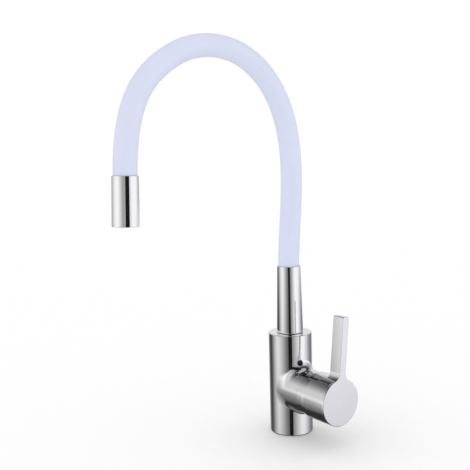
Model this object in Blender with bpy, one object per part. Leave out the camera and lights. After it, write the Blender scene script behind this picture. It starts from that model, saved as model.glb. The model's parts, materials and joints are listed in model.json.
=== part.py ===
"""Kitchen faucet: an upright body with a flexible gooseneck spout and a side lever.

Metres, +Z up. The origin is the centre of the body's base, where it stands on the deck. The spout points
along -Y and the handle's axis along +X.
"""

import math

import bmesh
import bpy
from mathutils import Matrix, Vector

# Shared clearances
SEAT_GAP = 0.0003
OVERRUN = 0.001
EDGE_BREAK = 0.0006

# Facets
VISIBLE_SIDES = 40
SLEEVE_SIDES = 28
INNER_SIDES = 16
SMALL_SIDES = 12
HOSE_SIDES = 14
HEX_SIDES = 6
JET_SIDES = 8
FILLET_STEPS = 4
ARC_STEPS = 5

# Body
BODY_RADIUS = 0.024
BODY_HEIGHT = 0.1126
BASE_ROUNDING = 0.0015
BRANCH_INSET = 0.0002
BRANCH_RADIUS = BODY_RADIUS - BRANCH_INSET
BRANCH_HEIGHT = 0.0512
BRANCH_END = 0.0373
BRANCH_TOP_FILLET = 0.010
BRANCH_FOOT_FILLET = 0.004
BRANCH_SIDE_FILLET = 0.050
FILLET_GROWTH = 12
FILLET_SINK = 0.0001
FILLET_ROOT = 0.003

# Sockets in the base for the two supply hoses and the stud
INLET_RADIUS = 0.005
INLET_DEPTH = 0.015
INLET_BACK = 0.009
INLET_SPREAD = 0.009
INLET_PASSAGE_RADIUS = 0.0035
STUD_RADIUS = 0.004
STUD_DEPTH = 0.018
STUD_FRONT = 0.011

# Gasket in the base
GASKET_INSET = 0.0029
GASKET_WIDTH = 0.0022
GASKET_THICKNESS = 0.0021
GASKET_OUTER_RADIUS = BODY_RADIUS - GASKET_INSET
GASKET_INNER_RADIUS = GASKET_OUTER_RADIUS - GASKET_WIDTH

# Cartridge, measured outward from the body's axis
CARTRIDGE_FLOOR = 0.004
CARTRIDGE_RADIUS = 0.0174
CARTRIDGE_CLEARANCE = 0.0004
SEAL_RADIUS = 0.0045
SEAL_BORE_RADIUS = 0.0032
SEAL_THICKNESS = 0.0019
PLATE_THICKNESS = 0.0036
PLATE_LIFT = 0.0006
PORT_RADIUS = 0.0028
INLET_PORT_SPREAD = 0.007
INLET_PORT_RISE = 0.004
OUTLET_PORT_DROP = 0.0075
FIXED_DISC_THICKNESS = 0.003
MOVING_DISC_ROOM = 0.0031
MOVING_DISC_THICKNESS = 0.003
MOVING_DISC_DROP = 0.0012
POCKET_DEPTH = 0.0018
POCKET_HALF_WIDTH = 0.0085
POCKET_TOP = 0.0006
POCKET_BOTTOM = 0.008
CARRIER_THICKNESS = 0.0045
HOUSING_WALL = 0.0022
HOUSING_ROOF = 0.0028
HOUSING_NECK_RADIUS = 0.014
HOUSING_NECK_WALL = 0.0023
HOUSING_NECK_LENGTH = 0.0063
GUIDE_FLANGE = 0.002
GUIDE_TOP_DROP = 0.0004
GUIDE_SLOT_HALF_LENGTH = 0.007
NUT_THICKNESS = 0.0063
NUT_SLOT_WIDTH = 0.003
NUT_SLOT_DEPTH = 0.0015
NUT_SLOTS = 6

# Outlet passage from the cartridge up to the spout
OUTLET_PASSAGE_RADIUS = 0.003
OUTLET_PASSAGE_BACK = 0.0035

# Spindle lever and its pin
PIVOT_RISE = 0.0051
BALL_RISE = 0.0029
BALL_RADIUS = 0.0025
BALL_NECK_RADIUS = 0.0016
BALL_CLEARANCE = 0.0004
SPINDLE_HALF = 0.004
SPINDLE_ROOT = 0.0035
SPINDLE_SHORTFALL = 0.008
PIN_RADIUS = 0.0015
PIN_SHORTFALL = 0.0004

# Bonnet ring
BONNET_BAND_LENGTH = 0.0067
BONNET_SPIGOT_CLEARANCE = 0.0004
BONNET_SPIGOT_WALL = 0.0028
BONNET_FLOOR = 0.002
BONNET_BAND_WALL = 0.0028
BONNET_DOME_WALL = 0.0022
BONNET_OPENING_RADIUS = 0.0155

# Handle
HANDLE_CLEARANCE = 0.0006
SKIRT_OVERHANG = 0.0012
SKIRT_WALL = 0.0016
SKIRT_BELLY = 0.0005
DISC_FACE = 0.0803
DISC_THICKNESS = 0.0063
HUB_RADIUS = 0.0085
HUB_LENGTH = 0.0175
LEVER_LENGTH = 0.0902
LEVER_WIDTH = 0.0088
LEVER_DEPTH = 0.0146
LEVER_FILLET = 0.009
LEVER_ROOT_SHARE = 0.8
LEVER_EDGE = 0.0005
SKIRT_RIM_RADIUS = BRANCH_RADIUS + SKIRT_OVERHANG
SKIRT_INNER_RADIUS = SKIRT_RIM_RADIUS - SKIRT_WALL
DISC_RADIUS = SKIRT_RIM_RADIUS
DISC_BACK = DISC_FACE - DISC_THICKNESS
SET_SCREW_RADIUS = 0.0022
SET_SCREW_INSET = 0.0105
HEX_SOCKET_RADIUS = 0.0012
HEX_SOCKET_DEPTH = 0.002

# Where the lever stands in the photo, and how the handle moves
REST_MIX_DEG = 5.7

# The spout's socket over the branch, and the round button with the grub screw behind it
SOCKET_FLOOR_RISE = 0.001
SOCKET_FLOOR = BRANCH_HEIGHT + BRANCH_RADIUS + SOCKET_FLOOR_RISE
SOCKET_RADIUS = 0.010
BUTTON_RISE = 0.0065
BUTTON_HEIGHT = SOCKET_FLOOR + BUTTON_RISE
BUTTON_AZIMUTH_DEG = -14.2
BUTTON_RADIUS = 0.0031
BUTTON_THICKNESS = 0.003
BUTTON_RECESS = 0.0004
GRUB_RADIUS = 0.0022
GRUB_LENGTH = 0.0085

# Spout base in its socket
SHANK_CLEARANCE = 0.00035
SHANK_LIFT = 0.001
BASE_BORE_RADIUS = 0.004
SPIGOT_WALL = 0.0014
SPIGOT_LENGTH = 0.028
FLANGE_THICKNESS = 0.004
FLANGE_CLEARANCE = 0.0003
WASHER_THICKNESS = 0.0008
HOLDING_GROOVE_DEPTH = 0.00205
HOLDING_GROOVE_CLEARANCE = 0.0006
O_RING_SECTION = 0.001

# The O-rings' places, as shares of the way up from the button to the body's top
O_RING_LOWER_SHARE = 0.333
O_RING_UPPER_SHARE = 0.6

# Hose: silicone sleeve, bendable core and water tube
HOSE_RADIUS = 0.0116
HOSE_FIT = 0.00035
SLEEVE_WALL = 0.0023
CORE_WALL = 0.0027
TUBE_WALL = 0.0017
LAYER_GAP = 0.0003
HOSE_STEP = 0.020
CRIMP_LENGTH = 0.032
SLEEVE_BORE = HOSE_RADIUS - SLEEVE_WALL
CORE_RADIUS = SLEEVE_BORE - LAYER_GAP
CORE_BORE = CORE_RADIUS - CORE_WALL
TUBE_RADIUS = CORE_BORE - LAYER_GAP
TUBE_BORE = TUBE_RADIUS - TUBE_WALL
SPIGOT_RADIUS = TUBE_BORE - LAYER_GAP
SPIGOT_BORE_RADIUS = SPIGOT_RADIUS - SPIGOT_WALL

# Neck sleeve
NECK_HEIGHT = 0.0746
NECK_WALL = 0.00104
NECK_TAPER = 0.00165
NECK_BORE_RADIUS = HOSE_RADIUS + HOSE_FIT
NECK_TOP_RADIUS = NECK_BORE_RADIUS + NECK_WALL
NECK_FOOT_RADIUS = NECK_TOP_RADIUS + NECK_TAPER
NECK_TOP = BODY_HEIGHT + NECK_HEIGHT

# The gooseneck's route above the neck sleeve, as shares of its reach and its rise
SPOUT_REACH = 0.1969
SPOUT_RISE = 0.2330
ROUTE_REACH_SHARES = (0.0, 0.0, -0.026, -0.039, 0.038, 0.240, 0.521, 0.8075, 0.990, 1.0)
ROUTE_RISE_SHARES = (0.0, 0.068, 0.273, 0.5445, 0.794, 0.972, 1.022, 0.9265, 0.7315, 0.456)
ROUTE_SAMPLES = 800

# The stretch over the top that bends, as reaches from the body's axis
BEND_START = 0.035
BEND_END = 0.160

# Outlet, measured down from the top of the outlet sleeve
OUTLET_LENGTH = 0.0477
OUTLET_WALL = 0.00095
OUTLET_FLARE = 0.00035
OUTLET_BORE_RADIUS = HOSE_RADIUS + HOSE_FIT
OUTLET_TOP_RADIUS = OUTLET_BORE_RADIUS + OUTLET_WALL
OUTLET_FOOT_RADIUS = OUTLET_TOP_RADIUS + OUTLET_FLARE
SLEEVE_TUCK = 0.011
ADAPTER_THICKNESS = 0.011
ADAPTER_CHAMBER_RADIUS = 0.008
ADAPTER_SPIGOT_LENGTH = 0.018
AERATOR_WASHER_BORE = 0.0075
AERATOR_WASHER_THICKNESS = 0.002
AERATOR_LENGTH = 0.0134
AERATOR_WALL = 0.0011
AERATOR_LIP = 0.0024
AERATOR_LIP_WIDTH = 0.0013
AERATOR_RECESS = 0.0003
INSERT_DISH_WALL = 0.0016
INSERT_FLOOR = 0.003
INSERT_HOLE_RADIUS = 0.0009
INSERT_HOLE_PITCH = 0.0034
INSERT_RINGS = 2

CHROME = (0.80, 0.80, 0.82)
LAVENDER = (0.68, 0.72, 0.87)
BRASS = (0.72, 0.55, 0.28)
STEEL = (0.55, 0.56, 0.58)
RUBBER = (0.03, 0.03, 0.03)
WHITE_PLASTIC = (0.80, 0.80, 0.78)
BLUE_PLASTIC = (0.20, 0.35, 0.60)
CERAMIC = (0.90, 0.89, 0.85)
DARK_PLASTIC = (0.05, 0.05, 0.07)


def clear_scene():
    for obj in list(bpy.data.objects):
        bpy.data.objects.remove(obj, do_unlink=True)


def link_mesh(name, shape):
    """An object at the world origin holding the bmesh, with its faces pointing out."""
    bmesh.ops.recalc_face_normals(shape, faces=shape.faces)
    mesh = bpy.data.meshes.new(name)
    shape.to_mesh(mesh)
    shape.free()
    obj = bpy.data.objects.new(name, mesh)
    bpy.context.scene.collection.objects.link(obj)
    return obj


def turned(name, profile, sides):
    """A body turned about Z from a closed outline of (height, radius) points."""
    shape = bmesh.new()
    rings = []
    for height, radius in profile:
        if radius == 0:
            rings.append([shape.verts.new((0, 0, height))])
            continue
        angles = [math.tau * step / sides for step in range(sides)]
        rings.append([shape.verts.new((radius * math.cos(a), radius * math.sin(a), height)) for a in angles])
    for ring, after in zip(rings, rings[1:] + rings[:1]):
        for side in range(sides):
            corners = [ring[side % len(ring)], ring[(side + 1) % len(ring)]]
            corners += [after[(side + 1) % len(after)], after[side % len(after)]]
            distinct = list(dict.fromkeys(corners))
            if len(distinct) > 2:
                shape.faces.new(distinct)
    return link_mesh(name, shape)


def rod(name, start, end, radius, sides):
    """A round rod from one point to another."""
    start = Vector(start)
    end = Vector(end)
    length = (end - start).length
    obj = turned(name, [(0, 0), (0, radius), (length, radius), (length, 0)], sides)
    turn = (end - start).to_track_quat("Z", "Y").to_matrix().to_4x4()
    obj.data.transform(Matrix.Translation(start) @ turn)
    return obj


def block(name, low, high):
    """A box between two corners."""
    shape = bmesh.new()
    bmesh.ops.create_cube(shape, size=1)
    low = Vector(low)
    high = Vector(high)
    middle = (low + high) / 2
    bmesh.ops.scale(shape, vec=high - low, verts=shape.verts)
    bmesh.ops.translate(shape, vec=middle, verts=shape.verts)
    return link_mesh(name, shape)


def prism(name, outline, low, high, edge):
    """An outline of (x, y) points drawn out along Z between two heights, with its edges broken."""
    shape = bmesh.new()
    floor = shape.faces.new([shape.verts.new((x, y, low)) for x, y in outline])
    drawn = bmesh.ops.extrude_face_region(shape, geom=[floor])
    moved = [item for item in drawn["geom"] if isinstance(item, bmesh.types.BMVert)]
    bmesh.ops.translate(shape, vec=(0, 0, high - low), verts=moved)
    if edge:
        rims = [e for e in shape.edges if abs(e.verts[0].co.z - e.verts[1].co.z) < edge]
        bmesh.ops.bevel(shape, geom=rims, offset=edge, segments=1, affect="EDGES", clamp_overlap=True)
    return link_mesh(name, shape)


def combine(obj, others, operation):
    """Joins or cuts obj with the others, which are used up."""
    for other in others:
        modifier = obj.modifiers.new(operation.lower(), "BOOLEAN")
        modifier.operation = operation
        modifier.solver = "EXACT"
        modifier.object = other
        result = obj.evaluated_get(bpy.context.evaluated_depsgraph_get())
        mesh = bpy.data.meshes.new_from_object(result)
        obj.modifiers.clear()
        obj.data = mesh
        bpy.data.objects.remove(other, do_unlink=True)
    return obj


def cut(obj, *cutters):
    return combine(obj, cutters, "DIFFERENCE")


def join(obj, *others):
    return combine(obj, others, "UNION")


def axis(name, parent, location, rotation=(0, 0, 0)):
    """An empty that marks a joint's axis or an assembly's frame."""
    empty = bpy.data.objects.new(name, None)
    bpy.context.scene.collection.objects.link(empty)
    empty.parent = parent
    empty.location = location
    empty.rotation_euler = rotation
    return empty


def finish(obj, parent, colour, roughness, metallic):
    """Gives a piece its material, smooth round faces and its parent."""
    material = bpy.data.materials.new(obj.name)
    material.use_nodes = True
    surface = material.node_tree.nodes["Principled BSDF"]
    surface.inputs["Base Color"].default_value = (*colour, 1)
    surface.inputs["Roughness"].default_value = roughness
    surface.inputs["Metallic"].default_value = metallic
    obj.data.materials.clear()
    obj.data.materials.append(material)
    obj.data.shade_smooth()
    obj.data.set_sharp_from_angle(angle=math.radians(35))
    obj.parent = parent
    return obj


def ring(name, low, high, inner, outer, sides):
    """A plain ring or washer along Z."""
    return turned(name, [(low, inner), (low, outer), (high, outer), (high, inner)], sides)


def arc(centre, radius, start, end, steps):
    """Points on an arc between two angles, both ends included."""
    angles = [start + (end - start) * step / steps for step in range(steps + 1)]
    return [(centre[0] + radius * math.cos(a), centre[1] + radius * math.sin(a)) for a in angles]


def junction_fillet():
    """The cast fillet where the branch leaves the body, rolled round the junction by a ball that grows
    towards the sides, where the two blend softly."""
    lift = Vector((0, 0, BRANCH_HEIGHT))
    shape = bmesh.new()
    sections = []
    for step in range(VISIBLE_SIDES):
        turn = math.tau * step / VISIBLE_SIDES
        side = math.sin(turn)
        rise = math.cos(turn)
        least = BRANCH_TOP_FILLET if rise > 0 else BRANCH_FOOT_FILLET
        ball = least + (BRANCH_SIDE_FILLET - least) * side**FILLET_GROWTH
        ball_on_body = BODY_RADIUS + ball
        ball_on_branch = BRANCH_RADIUS + ball
        centre = Vector((0, ball_on_branch * side, ball_on_branch * rise))
        centre.x = math.sqrt(ball_on_body**2 - centre.y**2)
        on_body = Vector((centre.x, centre.y, 0)) * (BODY_RADIUS - FILLET_SINK) / ball_on_body
        on_body.z = centre.z
        branch_contact = BRANCH_RADIUS - FILLET_SINK
        on_branch = Vector((centre.x, branch_contact * side, branch_contact * rise))
        root = Vector((0, (BRANCH_RADIUS - FILLET_ROOT) * side, (BRANCH_RADIUS - FILLET_ROOT) * rise))
        root.x = math.sqrt(BODY_RADIUS**2 - root.y**2) - FILLET_ROOT
        first = (on_body - centre).normalized()
        last = (on_branch - centre).normalized()
        points = [on_body]
        for part in range(1, FILLET_STEPS):
            points.append(centre + first.slerp(last, part / FILLET_STEPS) * ball)
        points += [on_branch, root]
        sections.append([shape.verts.new(point + lift) for point in points])
    for here, there in zip(sections, sections[1:] + sections[:1]):
        for index in range(len(here)):
            follow = (index + 1) % len(here)
            shape.faces.new([here[index], here[follow], there[follow], there[index]])
    return link_mesh("junction_fillet", shape)


def button_direction():
    azimuth = math.radians(BUTTON_AZIMUTH_DEG)
    return Vector((math.cos(azimuth), math.sin(azimuth), 0))


def along_button(distance):
    return button_direction() * distance + Vector((0, 0, BUTTON_HEIGHT))


def passages():
    """Cutters for the water's way through the body."""
    inlet_height = BRANCH_HEIGHT + INLET_PORT_RISE
    outlet_height = BRANCH_HEIGHT - OUTLET_PORT_DROP
    into_bore = CARTRIDGE_FLOOR + OVERRUN
    cutters = []
    for side in (-1, 1):
        spread = side * INLET_SPREAD
        port = side * INLET_PORT_SPREAD
        riser = (-INLET_BACK, spread, -OVERRUN)
        top = (-INLET_BACK, spread, inlet_height + INLET_PASSAGE_RADIUS)
        cutters.append(rod("socket", riser, (-INLET_BACK, spread, INLET_DEPTH), INLET_RADIUS, INNER_SIDES))
        cutters.append(rod("riser", riser, top, INLET_PASSAGE_RADIUS, SMALL_SIDES))
        start = (-INLET_BACK, port, inlet_height)
        end = (into_bore, port, inlet_height)
        cutters.append(rod("port", start, end, PORT_RADIUS, SMALL_SIDES))
    start = (-OUTLET_PASSAGE_BACK, 0, outlet_height)
    cutters.append(rod("port", start, (into_bore, 0, outlet_height), PORT_RADIUS, SMALL_SIDES))
    foot = (-OUTLET_PASSAGE_BACK, 0, outlet_height - OUTLET_PASSAGE_RADIUS)
    head = (-OUTLET_PASSAGE_BACK, 0, SOCKET_FLOOR + OVERRUN)
    cutters.append(rod("riser", foot, head, OUTLET_PASSAGE_RADIUS, SMALL_SIDES))
    return cutters


def faucet_body():
    """The cast body: upright barrel, side branch, and every bore in them."""
    centre = (BASE_ROUNDING, BODY_RADIUS - BASE_ROUNDING)
    foot = arc(centre, BASE_ROUNDING, math.pi, math.pi / 2, FILLET_STEPS)
    head = [(BODY_HEIGHT - EDGE_BREAK, BODY_RADIUS), (BODY_HEIGHT, BODY_RADIUS - EDGE_BREAK)]
    barrel = turned("faucet_body", [(0, 0), *foot, *head, (BODY_HEIGHT, 0)], VISIBLE_SIDES)
    tip = (BRANCH_END, 0, BRANCH_HEIGHT)
    branch = rod("branch", (0, 0, BRANCH_HEIGHT), tip, BRANCH_RADIUS, VISIBLE_SIDES)
    join(barrel, branch, junction_fillet())
    bore = CARTRIDGE_RADIUS + CARTRIDGE_CLEARANCE
    floor = (CARTRIDGE_FLOOR, 0, BRANCH_HEIGHT)
    mouth = (BRANCH_END + OVERRUN, 0, BRANCH_HEIGHT)
    cartridge_bore = rod("cartridge_bore", floor, mouth, bore, SLEEVE_SIDES)
    socket = rod("socket", (0, 0, SOCKET_FLOOR), (0, 0, BODY_HEIGHT + OVERRUN), SOCKET_RADIUS, SLEEVE_SIDES)
    stud = rod("stud", (STUD_FRONT, 0, -OVERRUN), (STUD_FRONT, 0, STUD_DEPTH), STUD_RADIUS, INNER_SIDES)
    groove_inner = GASKET_INNER_RADIUS - SEAT_GAP
    groove_outer = GASKET_OUTER_RADIUS + SEAT_GAP
    groove = ring("groove", -OVERRUN, GASKET_THICKNESS + SEAT_GAP, groove_inner, groove_outer, VISIBLE_SIDES)
    button_floor = BODY_RADIUS - BUTTON_RECESS - BUTTON_THICKNESS - SEAT_GAP
    button_hole = rod(
        "button_hole",
        along_button(button_floor),
        along_button(BODY_RADIUS + OVERRUN),
        BUTTON_RADIUS + SEAT_GAP,
        INNER_SIDES,
    )
    grub_bore = GRUB_RADIUS + SEAT_GAP
    grub_hole = rod("grub_hole", along_button(0), along_button(BODY_RADIUS), grub_bore, SMALL_SIDES)
    cut(barrel, cartridge_bore, socket, stud, groove, button_hole, grub_hole, *passages())
    return barrel


def deck_gasket():
    return ring("deck_gasket", 0, GASKET_THICKNESS, GASKET_INNER_RADIUS, GASKET_OUTER_RADIUS, VISIBLE_SIDES)


def indicator_button():
    outer = BODY_RADIUS - BUTTON_RECESS
    return rod(
        "indicator_button",
        along_button(outer - BUTTON_THICKNESS),
        along_button(outer),
        BUTTON_RADIUS,
        INNER_SIDES,
    )


def hex_socket(start, end):
    return rod("hex_socket", start, end, HEX_SOCKET_RADIUS, HEX_SIDES)


def spout_grub_screw():
    """Its tip stands in the spout base's groove and keeps the spout from lifting out."""
    tip = HOLDING_GROOVE_RADIUS + HOLDING_GROOVE_CLEARANCE
    head = tip + GRUB_LENGTH
    screw = rod("spout_grub_screw", along_button(tip), along_button(head), GRUB_RADIUS, SMALL_SIDES)
    return cut(screw, hex_socket(along_button(head - HEX_SOCKET_DEPTH), along_button(head + OVERRUN)))


PLATE_BACK = CARTRIDGE_FLOOR + PLATE_LIFT
FIXED_DISC_BACK = PLATE_BACK + PLATE_THICKNESS + SEAT_GAP
MOVING_DISC_BACK = FIXED_DISC_BACK + FIXED_DISC_THICKNESS + SEAT_GAP
CARRIER_BACK = MOVING_DISC_BACK + MOVING_DISC_THICKNESS + SEAT_GAP
GUIDE_BACK = CARRIER_BACK + CARRIER_THICKNESS + SEAT_GAP
HOUSING_STEP = GUIDE_BACK + GUIDE_FLANGE + SEAT_GAP
HOUSING_SHOULDER = HOUSING_STEP + HOUSING_ROOF
HOUSING_TOP = HOUSING_SHOULDER + HOUSING_NECK_LENGTH
NUT_TOP = HOUSING_SHOULDER + SEAT_GAP + NUT_THICKNESS
HOUSING_INNER_RADIUS = CARTRIDGE_RADIUS - HOUSING_WALL
FIXED_DISC_RADIUS = HOUSING_INNER_RADIUS - SEAT_GAP
MOVING_DISC_RADIUS = FIXED_DISC_RADIUS - MOVING_DISC_ROOM
PIVOT = GUIDE_BACK + PIVOT_RISE
PORTS = (
    ("hot", -INLET_PORT_SPREAD, INLET_PORT_RISE),
    ("cold", INLET_PORT_SPREAD, INLET_PORT_RISE),
    ("outlet", 0, -OUTLET_PORT_DROP),
)


def cartridge_base_plate():
    """The cartridge's foot, with a recess round each port for its seal."""
    front = PLATE_BACK + PLATE_THICKNESS
    plate = rod("cartridge_base_plate", (0, 0, PLATE_BACK), (0, 0, front), CARTRIDGE_RADIUS, SLEEVE_SIDES)
    seal_top = CARTRIDGE_FLOOR + SEAT_GAP + SEAL_THICKNESS
    for _, x, y in PORTS:
        low = (x, y, PLATE_BACK - OVERRUN)
        recess = rod("recess", low, (x, y, seal_top + SEAT_GAP), SEAL_RADIUS + SEAT_GAP, INNER_SIDES)
        cut(plate, recess, rod("port", low, (x, y, front + OVERRUN), PORT_RADIUS, SMALL_SIDES))
    return plate


def port_seal(name, x, y):
    low = CARTRIDGE_FLOOR + SEAT_GAP
    seal = ring(f"port_seal_{name}", low, low + SEAL_THICKNESS, SEAL_BORE_RADIUS, SEAL_RADIUS, INNER_SIDES)
    seal.data.transform(Matrix.Translation((x, y, 0)))
    return seal


def fixed_ceramic_disc():
    front = FIXED_DISC_BACK + FIXED_DISC_THICKNESS
    disc = rod("fixed_ceramic_disc", (0, 0, FIXED_DISC_BACK), (0, 0, front), FIXED_DISC_RADIUS, INNER_SIDES)
    for _, x, y in PORTS:
        start = (x, y, FIXED_DISC_BACK - OVERRUN)
        cut(disc, rod("port", start, (x, y, front + OVERRUN), PORT_RADIUS, SMALL_SIDES))
    return disc


def moving_ceramic_disc():
    """Its pocket joins the ports of the fixed disc as it slides."""
    front = MOVING_DISC_BACK + MOVING_DISC_THICKNESS
    start = (0, -MOVING_DISC_DROP, MOVING_DISC_BACK)
    disc = rod("moving_ceramic_disc", start, (0, -MOVING_DISC_DROP, front), MOVING_DISC_RADIUS, INNER_SIDES)
    low = (-POCKET_HALF_WIDTH, -POCKET_BOTTOM, MOVING_DISC_BACK - OVERRUN)
    high = (POCKET_HALF_WIDTH, POCKET_TOP, MOVING_DISC_BACK + POCKET_DEPTH)
    pocket = block("pocket", low, high)
    return cut(disc, pocket)


def disc_carrier():
    """The plastic slider on the moving disc, with the socket for the spindle's ball."""
    front = CARRIER_BACK + CARRIER_THICKNESS
    start = (0, -MOVING_DISC_DROP, CARRIER_BACK)
    carrier = rod("disc_carrier", start, (0, -MOVING_DISC_DROP, front), MOVING_DISC_RADIUS, INNER_SIDES)
    low = (0, 0, CARRIER_BACK - OVERRUN)
    high = (0, 0, front + OVERRUN)
    return cut(carrier, rod("socket", low, high, BALL_RADIUS + BALL_CLEARANCE, SMALL_SIDES))


def cartridge_housing():
    """The cartridge's cup: a wide barrel round the discs and a neck round the spindle guide."""
    neck_inner = HOUSING_NECK_RADIUS - HOUSING_NECK_WALL
    profile = [
        (FIXED_DISC_BACK, HOUSING_INNER_RADIUS),
        (FIXED_DISC_BACK, CARTRIDGE_RADIUS),
        (HOUSING_SHOULDER, CARTRIDGE_RADIUS),
        (HOUSING_SHOULDER, HOUSING_NECK_RADIUS),
        (HOUSING_TOP, HOUSING_NECK_RADIUS),
        (HOUSING_TOP, neck_inner),
        (HOUSING_STEP, neck_inner),
        (HOUSING_STEP, HOUSING_INNER_RADIUS),
    ]
    return turned("cartridge_housing", profile, SLEEVE_SIDES)


def retaining_nut():
    """The slotted ring nut that holds the cartridge down."""
    low = HOUSING_SHOULDER + SEAT_GAP
    nut = ring("retaining_nut", low, NUT_TOP, HOUSING_NECK_RADIUS + SEAT_GAP, CARTRIDGE_RADIUS, SLEEVE_SIDES)
    half = NUT_SLOT_WIDTH / 2
    for step in range(NUT_SLOTS // 2):
        corner = (-CARTRIDGE_RADIUS - OVERRUN, -half, NUT_TOP - NUT_SLOT_DEPTH)
        slot = block("slot", corner, (CARTRIDGE_RADIUS + OVERRUN, half, NUT_TOP + OVERRUN))
        slot.data.transform(Matrix.Rotation(math.tau * step / NUT_SLOTS, 4, "Z"))
        cut(nut, slot)
    return nut


def spindle_guide():
    """The turning guide that carries the spindle's pin in its slot."""
    barrel_radius = HOUSING_NECK_RADIUS - HOUSING_NECK_WALL - SEAT_GAP * 2
    flange_radius = HOUSING_INNER_RADIUS - SEAT_GAP * 2
    flange_top = GUIDE_BACK + GUIDE_FLANGE
    top = HOUSING_TOP - GUIDE_TOP_DROP
    profile = [
        (GUIDE_BACK, 0),
        (GUIDE_BACK, flange_radius),
        (flange_top, flange_radius),
        (flange_top, barrel_radius),
        (top, barrel_radius),
        (top, 0),
    ]
    guide = turned("spindle_guide", profile, SLEEVE_SIDES)
    half = SPINDLE_HALF + SEAT_GAP
    low = (-half, -GUIDE_SLOT_HALF_LENGTH, GUIDE_BACK - OVERRUN)
    slot = block("slot", low, (half, GUIDE_SLOT_HALF_LENGTH, top + OVERRUN))
    reach = barrel_radius + OVERRUN
    hole = rod("pin_hole", (-reach, 0, PIVOT), (reach, 0, PIVOT), PIN_RADIUS + SEAT_GAP, SMALL_SIDES)
    return cut(guide, slot, hole)


def pivot_pin():
    reach = HOUSING_NECK_RADIUS - HOUSING_NECK_WALL - SEAT_GAP * 2 - PIN_SHORTFALL
    return rod("pivot_pin", (-reach, 0, PIVOT), (reach, 0, PIVOT), PIN_RADIUS, SMALL_SIDES)


def spindle_lever():
    """The cartridge's stem: a ball in the carrier, a pin hole, and a square end in the handle."""
    ball = CARRIER_BACK + BALL_RISE
    ball_points = arc((ball, 0), BALL_RADIUS, math.pi, math.radians(45), ARC_STEPS)
    outline = [(height, max(radius, 0)) for height, radius in ball_points]
    outline[0] = (outline[0][0], 0)
    square_foot = PIVOT - SPINDLE_ROOT
    outline += [(square_foot - OVERRUN, BALL_NECK_RADIUS), (square_foot + OVERRUN, BALL_NECK_RADIUS)]
    outline += [(square_foot + OVERRUN, 0)]
    tip = turned("spindle_lever", outline, SMALL_SIDES)
    square = block(
        "square",
        (-SPINDLE_HALF, -SPINDLE_HALF, square_foot),
        (SPINDLE_HALF, SPINDLE_HALF, DISC_BACK - SPINDLE_SHORTFALL),
    )
    reach = SPINDLE_HALF + OVERRUN
    hole = rod("pin_hole", (-reach, 0, PIVOT), (reach, 0, PIVOT), PIN_RADIUS + SEAT_GAP, SMALL_SIDES)
    return cut(join(tip, square), hole)


BONNET_END = BRANCH_END + BONNET_BAND_LENGTH
BONNET_BALL_RADIUS = math.hypot(BONNET_END - PIVOT, BRANCH_RADIUS)
BONNET_DOME_RADIUS = BONNET_BALL_RADIUS - HANDLE_CLEARANCE / 2
SKIRT_RIM_BALL = BONNET_BALL_RADIUS + HANDLE_CLEARANCE
SKIRT_RIM = PIVOT + math.sqrt(SKIRT_RIM_BALL**2 - SKIRT_INNER_RADIUS**2)


def dome_arc(radius, outer, inner, steps):
    """Points of a dome about the pivot, from the outer turned radius to the inner one."""
    start = math.asin(outer / radius)
    end = math.asin(inner / radius)
    return arc((PIVOT, 0), radius, start, end, steps)


def bonnet_ring():
    """The ring between branch and handle, domed about the pin so that the skirt swings over it."""
    back = BRANCH_END + SEAT_GAP
    spigot_back = NUT_TOP + BONNET_SPIGOT_CLEARANCE
    bore_radius = CARTRIDGE_RADIUS - BONNET_SPIGOT_WALL
    band_inner = BRANCH_RADIUS - BONNET_BAND_WALL
    dome_start = math.sqrt(BONNET_DOME_RADIUS**2 - (BONNET_END - PIVOT) ** 2)
    inner_radius = BONNET_DOME_RADIUS - BONNET_DOME_WALL
    outer_dome = dome_arc(BONNET_DOME_RADIUS, dome_start, BONNET_OPENING_RADIUS, ARC_STEPS)
    inner_dome = dome_arc(inner_radius, BONNET_OPENING_RADIUS, band_inner, ARC_STEPS)
    profile = [
        (spigot_back, bore_radius),
        (spigot_back, CARTRIDGE_RADIUS),
        (back, CARTRIDGE_RADIUS),
        (back, BRANCH_RADIUS),
        (BONNET_END, BRANCH_RADIUS),
        *outer_dome,
        *inner_dome,
        (back + BONNET_FLOOR, band_inner),
        (back + BONNET_FLOOR, bore_radius),
    ]
    return turned("bonnet_ring", profile, VISIBLE_SIDES)


def skirt_radius(place):
    """The skirt's outer radius between rim and disc, with a slight belly."""
    share = (place - SKIRT_RIM) / (DISC_FACE - SKIRT_RIM)
    return SKIRT_RIM_RADIUS + SKIRT_BELLY * math.sin(math.pi * share)


def lever_outline():
    """The lever seen from the front, with the fillets that run into the disc."""
    half = LEVER_WIDTH / 2
    centre_x = half + LEVER_FILLET
    centre_y = math.sqrt((DISC_RADIUS + LEVER_FILLET) ** 2 - centre_x**2)
    meet = math.atan2(-centre_y, -centre_x)
    right = arc((centre_x, centre_y), LEVER_FILLET, -math.pi, meet, FILLET_STEPS)
    root = (right[-1][0] * LEVER_ROOT_SHARE, right[-1][1] * LEVER_ROOT_SHARE)
    side = [(half, LEVER_LENGTH)] + right + [root]
    return side + [(-x, y) for x, y in reversed(side)]


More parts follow.
